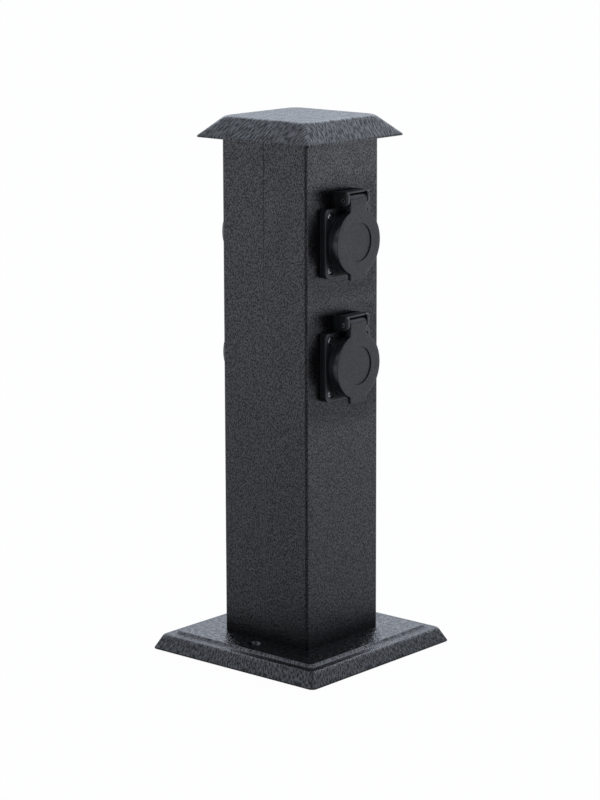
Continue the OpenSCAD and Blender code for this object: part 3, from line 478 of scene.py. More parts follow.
# %% The post's finishes
BARE_METAL = {"metallic": 1.0, "rough_spread": 0.2}
finishes = {
    "powder_coat": grained(
        "powder coat", (0.003, 0.0021, 0.0026), (0.006, 0.0053, 0.0062), 0.22, 1105, 2600, 0.1,
        0.6, (1, 1, 0.7), gloss=(0.021, 0.078), lined=True),
    "moulding": grained(
        "leather-grained moulding", (0.001, 0.001, 0.0012), (0.003, 0.0031, 0.0036), 0.17, 600, 1700,
        0.35, 0.5, (1, 0.4, 1), surface=True, gloss=(0.024, 0.106), deep=5.0),
    "socket_plastic": grained(
        "black socket plastic", (0.006, 0.0062, 0.0068), (0.009, 0.0092, 0.01), 0.34, 900, 3000, 0.03,
        gloss=(0.052, 0.052)),
    "lid_plastic": grained(
        "dull lid plastic", (0.006, 0.0062, 0.007), (0.01, 0.0104, 0.0116), 0.40, 1100, 3000, 0.05,
        gloss=(0.04, 0.054), rough_sides=0.24),
    "gland_plastic": grained(
        "gland plastic", (0.03, 0.03, 0.032), (0.04, 0.04, 0.043), 0.45, 900, 2500, 0.03),
    "ivory_plastic": grained(
        "ivory terminal plastic", (0.62, 0.6, 0.54), (0.68, 0.66, 0.6), 0.4, 600, 2000, 0.02),
    "rubber": grained(
        "seal rubber", (0.008, 0.008, 0.0085), (0.014, 0.014, 0.015), 0.62, 1200, 3000, 0.05),
    "zinc_steel": grained(
        "zinc-plated steel", (0.42, 0.43, 0.45), (0.6, 0.6, 0.6), 0.26, 700, 2600, 0.02, **BARE_METAL),
    "dark_screws": grained(
        "dulled zinc", (0.1, 0.1, 0.105), (0.34, 0.34, 0.35), 0.18, 900, 2600, 0.04, metallic=1.0,
        rough_spread=0.25),
    "brass": grained(
        "contact brass", (0.62, 0.42, 0.14), (0.74, 0.53, 0.22), 0.24, 800, 2600, 0.02, **BARE_METAL),
    "live_insulation": grained(
        "brown insulation", (0.11, 0.04, 0.015), (0.14, 0.052, 0.02), 0.42, 800, 2600, 0.02),
    "neutral_insulation": grained(
        "blue insulation", (0.02, 0.09, 0.33), (0.028, 0.11, 0.38), 0.42, 800, 2600, 0.02),
    "earth_insulation": grained(
        "green and yellow insulation", (0.07, 0.26, 0.035), (0.5, 0.45, 0.03), 0.42, 160, 2600, 0.02),
}
for row in frame["record"]["subparts"]:
    shown = frame["nodes"][row["node"]]
    if not shown.data.materials:
        shown.data.materials.append(None)
    for holder in shown.material_slots:
        holder.material = finishes[row["material_slot"]]

# %% [markdown]
# ## The cap
# The cap is a hollow moulding like a small hipped roof: an upright lip at the eaves, a slope that turns
# softly into a flat top, and below it a square spigot that plugs the tube. It could be cut from a
# block, but one profile carried round a rounded square gives the outside, the hollow and the spigot
# in one closed skin, and the way along the profile gives the grain its direction.

# %% Cap
CAP_H, CAP_LIP, CAP_WALL = mm(15.5, 1.2, 2.4)
CAP_SLOPE_DEG, CAP_EDGE_R, LIP_BEVEL = 47, 5 * MM, 0.3 * MM
EAVES_CORNER_R, TOP_CORNER_R = mm(3, 8)
SLANT = 0.35
SLOPE_GRAIN, TOP_GRAIN = np.array([1.2, 0.8]), np.array([0.28, 0.7])
SPIGOT_LOW, SPIGOT_HALF = cap_low.z, HALF - 1.8 * MM
SEAT_HALF, SEAT_Z = HALF + 0.3 * MM, tube_high.z
EAVES_Z = POST_TOP - CAP_H


def eased_slope(edge, low, top, degrees, radius):
    """Profile from a flat top down to an edge: an arc that leaves the level and meets the slope, then
    the slope itself. The arc's centre lies one radius under the top, radius * tan(half the slope)
    inside the corner of the two lines."""
    slope = math.radians(degrees)
    corner = edge - (top - low) / math.tan(slope)
    centre = (corner - radius * math.tan(slope / 2), top - radius)
    return np.concatenate([arc(centre, radius, 90, 90 - degrees, 10), [[edge, low]]])


def straight_part(profile, points):
    """Points along the last straight of a profile, without its two ends."""
    top, end = profile[-2:]
    return top + np.linspace(0, 1, points)[1:-1, None] * (end - top)


def four_sides(grid, down):
    """Splits a grid that runs round a square at its corner lines, and gives each side a UV map of real
    lengths: across from the side's middle, moved along by a slant times the way down, and down."""
    quarter = (grid.shape[1] - 1) // 4
    sides = []
    for k in range(4):
        part = grid[:, k * quarter:(k + 1) * quarter + 1]
        across = lengths_along(part, axis=1)
        across += k - across[:, quarter // 2, None] + SLANT * down[:, None]
        lengths = np.stack(np.broadcast_arrays(across, down[:, None]), axis=-1)
        sides.append((part, SLOPE_GRAIN * lengths))
    return sides


cap_slope = eased_slope(CAP_HALF, EAVES_Z + CAP_LIP, POST_TOP, CAP_SLOPE_DEG, CAP_EDGE_R)
lip_top, hollow_half = cap_slope[-1], CAP_HALF - CAP_WALL
hollow_top = EAVES_Z + (hollow_half - SEAT_HALF) * math.tan(math.radians(CAP_SLOPE_DEG))
spigot_in, ceiling = SPIGOT_HALF - CAP_WALL, POST_TOP - CAP_WALL
cap_outside = np.concatenate([
    cap_slope[:-1], straight_part(cap_slope, 8),
    [lip_top + (-0.35 * MM, 0.35 * MM), lip_top + (-0.07 * MM, 0.02 * MM), lip_top - (0, LIP_BEVEL)],
    [(CAP_HALF, EAVES_Z + LIP_BEVEL), (CAP_HALF - LIP_BEVEL, EAVES_Z)],
])
cap_inside = [
    (hollow_half, EAVES_Z), (SEAT_HALF, hollow_top), (SEAT_HALF, SEAT_Z), (SPIGOT_HALF, SEAT_Z),
    (SPIGOT_HALF, SPIGOT_LOW), (spigot_in, SPIGOT_LOW), (spigot_in, ceiling), (0, ceiling),
]
cap_profile = np.concatenate([cap_outside, cap_inside])
outside = np.arange(len(cap_profile)) < len(cap_outside)
hip_r = np.interp(cap_profile[:, 0], [cap_profile[0, 0], CAP_HALF], [TOP_CORNER_R, EAVES_CORNER_R])
cap_corner = np.minimum(np.where(outside, hip_r, EAVES_CORNER_R), cap_profile[:, 0])
cap_side = closed(raised(square_rings(cap_profile[:, 0], cap_corner), cap_profile[:, 1]))
inward = np.linspace(0, 1, 10)
cap_top = square_rings(inward * cap_profile[0, 0], inward * TOP_CORNER_R)
cap_top = closed(raised(cap_top, np.full(len(inward), POST_TOP)))
cap_parts = four_sides(cap_side, lengths_along(cap_profile))
cap_parts.append((cap_top, cap_top[..., :2] * TOP_GRAIN + (CAP_TOP_U, 0)))
make_piece("cap_moulding", cap_parts, "moulding", "post", ["top_cap"])

# %% [markdown]
# ## The base
# The base is a moulding too: a sloped border, a ledge and a raised panel, hollow below, with two
# countersunk fixing holes in the middles of the plain sides. A border like a picture frame is again a
# profile carried round a square. A plate with a hole isn't: there, each point of the plate's outline
# is joined to the point of the hole in the same direction, so the grid runs from rim to hole, down the
# countersink, through the boss and back out under the plate.

# %% Base border
BORDER_GRAIN, PANEL_GRAIN = 1.4, np.array([0.5, 1.25])
PANEL_HALF, BASE_LIP, BASE_WALL = mm(67, 0.8, 3)
BORDER_SLOPE_DEG, BORDER_EDGE_R, RIM_CORNER_R = 63, 3 * MM, 4 * MM
PANEL_SLOPE_DEG, PANEL_EDGE_R, PANEL_CORNER_R = 45, 0.8 * MM, 3 * MM
LEDGE_Z, FLOOR_Z = PANEL_Z - 2 * MM, PANEL_Z - BASE_WALL
CAVITY_HALF = PANEL_HALF - BASE_WALL
base_slope = eased_slope(BASE_HALF, BASE_LIP, LEDGE_Z, BORDER_SLOPE_DEG, BORDER_EDGE_R)
panel_side = eased_slope(PANEL_HALF, LEDGE_Z, PANEL_Z, PANEL_SLOPE_DEG, PANEL_EDGE_R)
foot_half, shoulder_z = BASE_HALF - BASE_WALL, LEDGE_Z - BASE_WALL
shoulder = foot_half - shoulder_z / math.tan(math.radians(BORDER_SLOPE_DEG))
border = np.concatenate([
    panel_side[:-1],
    [(PANEL_HALF - 0.15 * MM, LEDGE_Z + 0.15 * MM), (PANEL_HALF + 0.2 * MM, LEDGE_Z)],
    base_slope[:-1], straight_part(base_slope, 6),
    [(BASE_HALF - 0.15 * MM, BASE_LIP + 0.3 * MM), (BASE_HALF, BASE_LIP - 0.1 * MM)],
    [(BASE_HALF, 0.2 * MM), (BASE_HALF - 0.2 * MM, 0), (foot_half, 0)],
    [(shoulder, shoulder_z), (CAVITY_HALF, shoulder_z), (CAVITY_HALF, FLOOR_Z)],
])
border_corner = np.interp(border[:, 0], [border[0, 0], BASE_HALF], [PANEL_CORNER_R, RIM_CORNER_R])
border_rings = square_rings(border[:, 0], border_corner)
border_grid = closed(raised(border_rings, border[:, 1]))
around = lengths_along(closed(square_rings([BASE_HALF], [RIM_CORNER_R]))[0])
border_uv = BORDER_GRAIN * np.stack(np.meshgrid(around, lengths_along(border)), axis=-1)

# %% Base panel with its holes
FIX_R, FIX_HOLE_R, FIX_SINK_R, FIX_BOSS_R = mm(52.5, 2.75, 5.0, 6.0)
MIDDLE_HALF, GLAND_HOLE_R = mm(28, 10.3)
middle_ring = square_rings([MIDDLE_HALF], [1 * MM])[0]
QUARTER = len(middle_ring) // 4


def quarter_of(ring, side):
    """The points of one side of a ring, from the middle of one corner to the middle of the next."""
    return np.roll(ring, -side * QUARTER, axis=0)[:QUARTER + 1]


def strip_outline(first, second, steps):
    """Outline of the strip between two lines: along the first, over to the second, back along that
    one, and over to the start."""
    over = between(first[-1:], second[-1:], steps)[1:-1, 0]
    back = between(second[:1], first[:1], steps)[1:-1, 0]
    return np.concatenate([first, over, second[::-1], back])


def fixing_strip(side):
    """One side of the panel as a single grid: top outline, hole's rim, countersink, bore, foot of the
    boss, boss, and the outline below."""
    centre = polar(FIX_R, side * math.pi / 2)
    inner = quarter_of(middle_ring, side)
    above, below = [strip_outline(quarter_of(border_rings[k], side), inner, 5) for k in (0, -1)]
    sink, hole = [facing(above, centre, r) for r in (FIX_SINK_R, FIX_HOLE_R)]
    boss = facing(below, centre, FIX_BOSS_R)
    flat = np.stack([*between(above, sink, 6), hole, hole, boss, *between(boss, below, 4)])
    sink_low = PANEL_Z - (FIX_SINK_R - FIX_HOLE_R)
    return closed(raised(flat, [PANEL_Z] * 6 + [sink_low, 0, 0] + [FLOOR_Z] * 4))


def plain_strip(side):
    """One side of the panel without a hole: rows from the outer to the inner ring, above and below."""
    inner = quarter_of(middle_ring, side)
    above, below = [between(quarter_of(border_rings[k], side), inner, 5) for k in (0, -1)]
    return raised(above, [PANEL_Z] * 5), raised(below, [FLOOR_Z] * 5)


to_gland = facing(middle_ring, np.zeros(2), GLAND_HOLE_R)
middle = np.concatenate([between(middle_ring, to_gland, 5), between(to_gland, middle_ring, 5)])
middle_grid = closed(raised(middle, [PANEL_Z] * 5 + [FLOOR_Z] * 5))

# %% Base ribs, rails and the carrier of the terminal block
RIB_HALF, THIN_EDGE, THICK_EDGE = mm(1.25, 0.3, 0.4)
RAIL_HALF, RAIL_IN, RAIL_OUT, RAIL_TOP = 25 * MM, HALF - 4 * MM, HALF - 1.8 * MM, PANEL_Z + 6 * MM
CARRIER_HALF, CARRIER_IN, CARRIER_OUT = mm(19.5, 16, 19)
GUSSET_AT, GUSSET_HALF, GUSSET_IN, GUSSET_OUT = mm(18, 1.5, 18, 29)
GUSSET_TOP = PANEL_Z + 16 * MM
root = FLOOR_Z + MM
ribs = [slab((-CAVITY_HALF, s * HALF - RIB_HALF, 0), (CAVITY_HALF, s * HALF + RIB_HALF, root), THIN_EDGE)
        for s in (-1, 1)]
ribs += [rib[..., [1, 0, 2]] for rib in ribs]
rails = [slab((-RAIL_HALF, min(s * RAIL_IN, s * RAIL_OUT), root),
              (RAIL_HALF, max(s * RAIL_IN, s * RAIL_OUT), RAIL_TOP), THIN_EDGE) for s in (-1, 1)]
carrier = slab((-CARRIER_HALF, CARRIER_IN, root), (CARRIER_HALF, CARRIER_OUT, CARRIER_TOP), THICK_EDGE)
gussets = [slab((s * GUSSET_AT - GUSSET_HALF, GUSSET_IN, root),
                (s * GUSSET_AT + GUSSET_HALF, GUSSET_OUT, GUSSET_TOP), THICK_EDGE) for s in (-1, 1)]
flat_parts = [middle_grid, *map(fixing_strip, (0, 2)), *plain_strip(1), *plain_strip(3)]
base_parts = [(border_grid, border_uv)]
base_parts += [(part, part[..., :2] * PANEL_GRAIN + (PANEL_U, 0)) for part in flat_parts]
base_parts += [(part,) for part in [*ribs, *rails, carrier, *gussets]]
make_piece("base_moulding", base_parts, "moulding", "post", ["base"])

# %% [markdown]
# ## The socket housings
# A panel outlet is one dark moulding: a square flange with a screw in each corner, a round collar, a
# deep well for the plug, a barrel that reaches into the tube, and above it a hood with two ears that
# hold the hinge pin. Most of it is round, so the grid is polar. Rays from the centre also describe a
# rounded square, and only the four corners with their sunk screws need plates with a hole.

# %% Flange, collar and well
GASKET_T, FLANGE_FRONT, SCREW_AT = mm(1, 5.2, 19)
FLANGE_HALF, FLANGE_R, FLANGE_EDGE = mm(25, 4, 0.6)
COLLAR_R, RIM, MOUTH_R, MOUTH_H, WELL_R = mm(22.5, 10.6, 19.9, 5.0, 19.6)
BARREL_R, INSERT_BACK, BARREL_BACK = mm(21.3, -12.9, -15.4)
HEAD_R, HEAD_DROP = mm(3.2, 2.3)
patch_angles = np.concatenate([
    np.linspace(25, 40, 7), np.linspace(40, 50, 17)[1:], np.linspace(50, 65, 7)[1:]])
plain_angles = np.linspace(-25, 25, 21)
quarter_angles = np.concatenate([plain_angles[:-1], patch_angles[:-1]])
flange_angles = np.radians(np.concatenate([quarter_angles + 90 * k for k in range(4)] + [[335]]))


def square_reach(angle, half, corner):
    """Distance from the centre of a rounded square to its edge: half over the larger of cosine and
    sine on the flat sides, and the far crossing of the corner's circle where a ray meets the corner."""
    c, s = np.abs(np.cos(angle)), np.abs(np.sin(angle))
    flat = half / np.maximum(c, s)
    toward = (c + s) * (half - corner)
    inside = np.maximum(toward ** 2 - (2 * (half - corner) ** 2 - corner ** 2), 0)
    rounded = toward + np.sqrt(inside)
    return np.where(flat * np.minimum(c, s) > half - corner, rounded, flat)


def flange_outline(angles, inset):
    """Edge of the flange, drawn in by an inset."""
    return polar(square_reach(angles, FLANGE_HALF - inset, FLANGE_R - inset), angles)


def screw_patch(quarter):
    """One corner of the flange: its outline runs along the collar, out, along the flange's edge and
    back, and a cup for the screw's head is sunk round the screw's centre."""
    angles = np.radians(patch_angles + 90 * quarter)
    outline = strip_outline(polar(COLLAR_R, angles), flange_outline(angles, FLANGE_EDGE), 4)
    centre = polar(SCREW_AT * math.sqrt(2), math.radians(45 + 90 * quarter))
    lead = facing(outline, centre, HEAD_R + 0.2 * MM)
    cup = facing(outline, centre, HEAD_R)
    flat = np.concatenate([between(outline, lead, 5), cup[None], cup[None], 0 * cup[None] + centre])
    heights = [FLANGE_FRONT] * 5 + [FLANGE_FRONT - 0.2 * MM] + [FLANGE_FRONT - HEAD_DROP] * 2
    return closed(raised(flat, heights))


def flange_side(quarter):
    """The plain stretch of flange between two screws, from the collar out to the edge."""
    angles = np.radians(plain_angles + 90 * quarter)
    flat = between(polar(COLLAR_R, angles), flange_outline(angles, FLANGE_EDGE), 4)
    return raised(flat, [FLANGE_FRONT] * 4)


ROUND = 0.5 * MM
well_profile = np.concatenate([
    [(0, INSERT_BACK), (WELL_R, INSERT_BACK), (WELL_R, RIM - MOUTH_H), (MOUTH_R, RIM - MOUTH_H)],
    arc((MOUTH_R + ROUND, RIM - ROUND), ROUND, 180, 90, 4),
    arc((COLLAR_R - ROUND, RIM - ROUND), ROUND, 90, 0, 4),
    [(COLLAR_R, FLANGE_FRONT)],
])
edge_insets, edge_drops = rounded_edge(FLANGE_EDGE, 5)
rim_flat = [flange_outline(flange_angles, inset) for inset in [*edge_insets, 0]]
rim_flat += [polar(r, flange_angles) for r in (BARREL_R, BARREL_R, 0)]
rim_heights = [*(FLANGE_FRONT - edge_drops), GASKET_T, GASKET_T, BARREL_BACK, BARREL_BACK]
body_grids = [turned(well_profile, flange_angles), raised(np.stack(rim_flat), rim_heights)]
body_grids += [screw_patch(k) for k in range(4)] + [flange_side(k) for k in range(4)]

# %% [markdown]
# ## Hood and ears
# The ears are flat plates whose outline is round in front and below, where the lid swings, and square
# on top. Seen from the hinge axis every ray leaves an ear only once, so its outline is a distance for
# each direction, and one closed grid gives both faces, the round edges and the hole for the pin.

# %% Hood and ears
EAR_IN, EAR_T, EAR_R, EAR_EDGE = mm(9.6, 2.7, 4.5, 0.6)
HOOD_TOP, HOOD_UNDER, HOOD_LOW, HOOD_R, HOOD_REACH = mm(36.8, 35.4, 24, 3.0, 3.0)
PIN_HOLE_R = 1.62 * MM
EAR_BACK, EAR_FOOT = 4.2 * MM - AXIS_OUT, 22 * MM - HINGE_RISE
ear_turn = np.linspace(0, 2 * math.pi, 181)


def about_hinge(x, r, angles):
    """Points at a place along the hinge, a distance from its axis and an angle; angle 0 points out of
    the face and a quarter turn points up."""
    y, z = HINGE_RISE + r * np.sin(angles), AXIS_OUT + r * np.cos(angles)
    return np.stack(np.broadcast_arrays(x, y, z), axis=-1)


def nearest_wall(angle, walls):
    """Distance along a ray to the nearest of some straight walls, each a normal and a distance. A
    ray that leaves a wall never meets it."""
    reaches = []
    for normal, distance in walls:
        toward = polar(1, angle) @ normal
        reaches.append(np.where(toward > 1e-6, distance / np.maximum(toward, 1e-6), 1.0))
    return np.minimum.reduce(reaches)


def ear_reach(angle):
    """Distance from the hinge axis to an ear's edge. Above the axis: the nearest of front, top and
    back walls, and the round corner's far side where a ray points into that corner. Below: the
    larger of the round nose and the foot that runs back to the flange."""
    up = HOOD_TOP - HINGE_RISE
    box = nearest_wall(angle, [((1, 0), EAR_R), ((0, 1), up), ((-1, 0), -EAR_BACK)])
    corner = np.array([EAR_R - HOOD_R, up - HOOD_R])
    toward = polar(1, angle) @ corner
    inside = toward ** 2 - (corner @ corner - HOOD_R ** 2)
    arc_reach = toward + np.sqrt(np.maximum(inside, 0))
    above = np.where((polar(box, angle) > corner).all(axis=-1), arc_reach, box)
    waist = EAR_R * np.array([-0.5, -0.8])
    foot_run = np.array([FLANGE_FRONT - AXIS_OUT, EAR_FOOT]) - waist
    slant = unit(np.array([-foot_run[1], foot_run[0]]))
    foot = nearest_wall(angle, [((-1, 0), -EAR_BACK), ((0, -1), -EAR_FOOT), (slant, waist @ slant)])
    foot = np.where(np.cos(angle) < -0.1, foot, 0)
    return np.where(np.sin(angle) >= 0, above, np.maximum(EAR_R, foot))


def ear(inner, outer):
    """A closed grid round the hinge axis: bore, inner face, rounded edge, outer face, bore again."""
    reach = ear_reach(ear_turn)
    bore = PIN_HOLE_R + 0 * reach
    step = np.sign(outer - inner)
    drawn_in, sunk = rounded_edge(EAR_EDGE, 4)
    rows = [(inner, bore)] + [(inner + step * s, reach - d) for d, s in zip(drawn_in, sunk)]
    rows += [(outer - step * s, reach - d) for d, s in zip(drawn_in[::-1], sunk[::-1])]
    rows += [(outer, bore), (inner, bore)]
    return np.stack([about_hinge(x, r, ear_turn) for x, r in rows])


hood_half = EAR_IN + EAR_T
hood_top = slab((-hood_half + MM, GASKET_T, -HOOD_TOP),
                (hood_half - MM, AXIS_OUT + HOOD_REACH, -HOOD_UNDER), THIN_EDGE)
hood_top = np.stack([hood_top[..., 0], -hood_top[..., 2], hood_top[..., 1]], axis=-1)
hood_back = slab((-hood_half, HOOD_LOW, GASKET_T), (hood_half, HOOD_TOP, FLANGE_FRONT), THICK_EDGE)
hood_foot = slab((-hood_half, FLANGE_HALF + 0.15 * MM, 0), (hood_half, HOOD_TOP, GASKET_T + MM),
                 THICK_EDGE)
body_grids += [ear(s * EAR_IN, s * hood_half) for s in (-1, 1)] + [hood_top, hood_back, hood_foot]
for place in PLACES:
    make_piece(f"outlet_body_{place}", [(on_post(g, place),) for g in body_grids],
               "socket_plastic", "post", [f"socket_housing_{place}"])

# %% [markdown]
# ## The lids
# A lid is a flat disc with a neck up to its hinge and a small tab below to lift it by. All three share
# one flat front, so they are one skin: from the centre, the outline is the farthest of disc, neck and
# tab in each direction. A high power of each, summed and rooted, takes that maximum with a small
# fillet in the inner corners. The rows of the grid run from the shallow round recess over the rounded
# rim, down the side, under the skirt and across the back. The knuckle is a turned sleeve.

# %% Lid skin
LID_R, LID_BACK, LID_FRONT, SKIRT_LOW, SKIRT_IN = mm(23.9, 10.8, 15.1, 9.2, 22.8)
NECK_HALF, TAB_HALF, TAB_DROP, TAB_T = mm(8.9, 9.0, 26.8, 2.6)
NECK_END = HINGE_RISE + 0.3 * MM
RECESS_R, RECESS_H, RECESS_EASE, FACE_RING_R, RIM_R = mm(14, 0.8, 0.05, 20, 0.4)
SEAL_OUT, SEAL_IN, SEAL_DEPTH = mm(22.2, 20.2, 1.42)
CORNER_POWER, FILLET_POWER = 44, 36
from_top = np.radians(np.unique(np.concatenate([
    np.linspace(0, 360, 181), np.linspace(12, 26, 57), np.linspace(334, 348, 57),
    np.linspace(154, 166, 49), np.linspace(194, 206, 49)])))


def bar_reach(angle, half, length):
    """Edge of a bar that runs up from the centre: a high power rounds its end corners a little, and
    there is no bar below the centre."""
    up, across = np.cos(angle), np.abs(np.sin(angle))
    summed = (across / half) ** CORNER_POWER + (np.maximum(up, 0) / length) ** CORNER_POWER
    return np.where(up > 0.2, np.maximum(summed, 1e-30) ** (-1 / CORNER_POWER), 0)


neck_reach = bar_reach(from_top, NECK_HALF, NECK_END)
tab_reach = bar_reach(from_top - math.pi, TAB_HALF, TAB_DROP)
powers = [(r / LID_R) ** FILLET_POWER for r in (np.full_like(from_top, LID_R), neck_reach, tab_reach)]
lid_reach = LID_R * sum(powers) ** (1 / FILLET_POWER)
lid_ray = np.stack([np.sin(from_top), np.cos(from_top)], axis=-1)
lid_edge = lid_reach[:, None] * lid_ray
tangent = np.roll(lid_edge[:-1], -1, axis=0) - np.roll(lid_edge[:-1], 1, axis=0)
outward = unit(np.stack([-tangent[:, 1], tangent[:, 0]], axis=-1))
outward = np.concatenate([outward, outward[:1]])
rim_insets, rim_drops = rounded_edge(RIM_R, 5)
under = np.where(tab_reach > LID_R, LID_FRONT - TAB_T, LID_BACK)[:, None]
flats = [r * lid_ray for r in (0, RECESS_R - RECESS_EASE, RECESS_R + RECESS_EASE, FACE_RING_R)]
levels = [LID_FRONT - RECESS_H] * 2 + [LID_FRONT] * 2
FRONT_ROWS = len(flats) + 1
flats += [lid_edge - outward * inset for inset in rim_insets] + [lid_edge]
levels += [*(LID_FRONT - rim_drops), under]
back_rings = (LID_R, LID_R, SKIRT_IN, SKIRT_IN, SEAL_OUT, SEAL_OUT, SEAL_IN, SEAL_IN, 0)
flats += [r * lid_ray for r in back_rings]
levels += [under] + [SKIRT_LOW] * 2 + [LID_BACK] * 2 + [LID_BACK + SEAL_DEPTH] * 2 + [LID_BACK] * 2
lid_skin = np.stack([np.concatenate([flat, np.broadcast_to(level, (len(from_top), 1))], axis=-1)
                     for flat, level in zip(flats, levels)])

# %% Lid knuckle
KNUCKLE_R, KNUCKLE_BORE_R, POCKET_R, POCKET_HALF = mm(4.4, 1.68, 3.4, 4.35)


def knuckle_end(side):
    """Solid end of the knuckle with its bore, from the spring's pocket out to a rounded rim."""
    loop = np.concatenate([
        [(POCKET_HALF, KNUCKLE_BORE_R), (POCKET_HALF, KNUCKLE_R)],
        arc((NECK_HALF - RIM_R, KNUCKLE_R - RIM_R), RIM_R, 90, 0, 4),
        [(NECK_HALF, KNUCKLE_BORE_R), (POCKET_HALF, KNUCKLE_BORE_R)],
    ])
    return about_hinge(*(loop * (side, 1)).T[..., None], whole_turn)


pocket_turn = math.asin(POCKET_R / KNUCKLE_R)
sleeve_turn = np.linspace(math.pi + pocket_turn, 3 * math.pi - pocket_turn, 61)
sleeve_x = POCKET_HALF * np.array([-1, -1, 1, 1, -1])
sleeve_r = np.array([POCKET_R, KNUCKLE_R, KNUCKLE_R, POCKET_R, POCKET_R])
sleeve = about_hinge(sleeve_x[:, None], sleeve_r[:, None], sleeve_turn)
sleeve_middle = np.broadcast_to(sleeve[:4].mean(axis=0), sleeve.shape)
sleeve = np.concatenate([sleeve_middle[:, :1], sleeve, sleeve_middle[:, -1:]], axis=1)
lid_grids = [lid_skin, knuckle_end(-1), knuckle_end(1), sleeve]
lid_marks = [np.zeros(g.shape[:2] + (2,)) for g in lid_grids]
lid_marks[0][FRONT_ROWS:, :, 0] = 1
for place in PLACES:
    surfaces = [(on_post(g, place), marked) for g, marked in zip(lid_grids, lid_marks)]
    make_piece(f"lid_shell_{place}", surfaces, "lid_plastic", f"{place}_lid", [f"lid_{place}"])

# %% [markdown]
# ## Springs
# A coil of wire round each hinge pin shuts the lid. One leg lies against the housing and the other in
# the lid, so when the lid opens the coil twists from one end to the other. The wire is a circle
# carried along a helix, and the piece is baked in place, attached to neither body.

# %% Springs
WIRE_R, COIL_R, PITCH = mm(0.35, 2.55, 1.5)
TURNS, WIRE_SIDES = 4, 12
SPRING_BACK, SPRING_FORE = AXIS_OUT - FLANGE_FRONT - 0.3 * MM, 1.63 * MM
coil_turn = np.linspace(0, TURNS, TURNS * 28 + 1)
coil = np.stack([(coil_turn - TURNS / 2) * PITCH, COIL_R * np.cos(2 * math.pi * coil_turn),
                 -COIL_R * np.sin(2 * math.pi * coil_turn)], axis=-1)
fore_leg = coil[0] + np.linspace(1, 0, 5)[:-1, None] * (0, 0, SPRING_FORE)
back_leg = coil[-1] - np.linspace(0, 1, 9)[1:, None] * (0, 0, SPRING_BACK)
wire_line = np.concatenate([fore_leg, coil, back_leg])

# At each point the way along the wire and the hinge's direction give two normals, and a circle of
# points is laid out on them. Both ends close in a point.
along = unit(np.gradient(wire_line, axis=0))
u = unit(np.cross((1, 0, 0), along))
v = np.cross(along, u)
a = np.linspace(0, 2 * math.pi, WIRE_SIDES + 1)[:, None]
rings = wire_line[:, None] + WIRE_R * (np.cos(a) * u[:, None] + np.sin(a) * v[:, None])
tips = np.repeat(wire_line[[0, -1]][:, None], WIRE_SIDES + 1, axis=1)
spring_skin = np.concatenate([tips[:1], rings, tips[1:]]) + (0, HINGE_RISE, AXIS_OUT)
for place in PLACES:
    spring = make_piece(f"spring_{place}", [(on_post(spring_skin, place),)], "zinc_steel", None,
                        [f"lid_spring_{place}"], sharp=60)
    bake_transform(spring)

# %% [markdown]
# ## Flange screws
# The bright dots in the flange's corners are the heads of four self-tapping screws. A flat disc would
# never glint. A head is a low dome with a cross pressed into it, so its skin is a height over a disc:
# the dome less the cross, whose walls are a steep but smooth step.

# %% Flange screws
SCREW_HEAD_R, SCREW_HEAD_H, SCREW_SHANK_R, SCREW_TIP = mm(2.9, 2, 1.75, -5.5)
CROSS_HALF, CROSS_ARM, CROSS_DEPTH = mm(0.42, 1.7, 1.1)
DOME_H, SIDE_DROP, POINT_H, STEP_HALF, ARM_FADE = mm(0.55, 0.75, 1.5, 0.1, 0.35)
DOME_SHARE, FIRST_SEED = 0.97, 7
head_top = FLANGE_FRONT - 0.3 * MM
head_low = head_top - SCREW_HEAD_H


def smooth_step(x, low, high):
    """Runs from 0 to 1 between two values with no corner at either end."""
    t = np.clip((x - low) / (high - low), 0, 1)
    return t * t * (3 - 2 * t)


screw_r = np.linspace(0, DOME_SHARE * SCREW_HEAD_R, 34)[:, None]
x, y = np.moveaxis(polar(screw_r, whole_turn), -1, 0)
bars = [(1 - smooth_step(np.abs(a), CROSS_HALF - STEP_HALF, CROSS_HALF + STEP_HALF))
        * (1 - smooth_step(np.abs(b), CROSS_ARM - ARM_FADE, CROSS_ARM)) for a, b in ((x, y), (y, x))]
dome = head_top - DOME_H * (screw_r / SCREW_HEAD_R) ** 2
head = np.stack([x, y, dome - CROSS_DEPTH * np.maximum(*bars)], axis=-1)
stem = turned([
    (SCREW_HEAD_R, head_top - SIDE_DROP), (SCREW_HEAD_R, head_low), (SCREW_SHANK_R, head_low),
    (SCREW_SHANK_R, SCREW_TIP + POINT_H), (0, SCREW_TIP)], whole_turn)
screw = np.concatenate([head, stem])
screw_grids = []
for number, place in enumerate(PLACES):
    spins = np.random.default_rng(FIRST_SEED + number).uniform(0, math.pi / 2, 4)
    for k, spin in enumerate(spins):
        c, s = math.cos(spin), math.sin(spin)
        skin = screw @ np.array([[c, s, 0], [-s, c, 0], [0, 0, 1]])
        skin = skin + (SCREW_AT * (1 if k % 2 else -1), SCREW_AT * (1 if k > 1 else -1), 0)
        screw_grids.append((on_post(skin, place),))
make_piece("flange_screw_set", screw_grids, "zinc_steel", "post", ["flange_screws"], 50, "dark_screws")
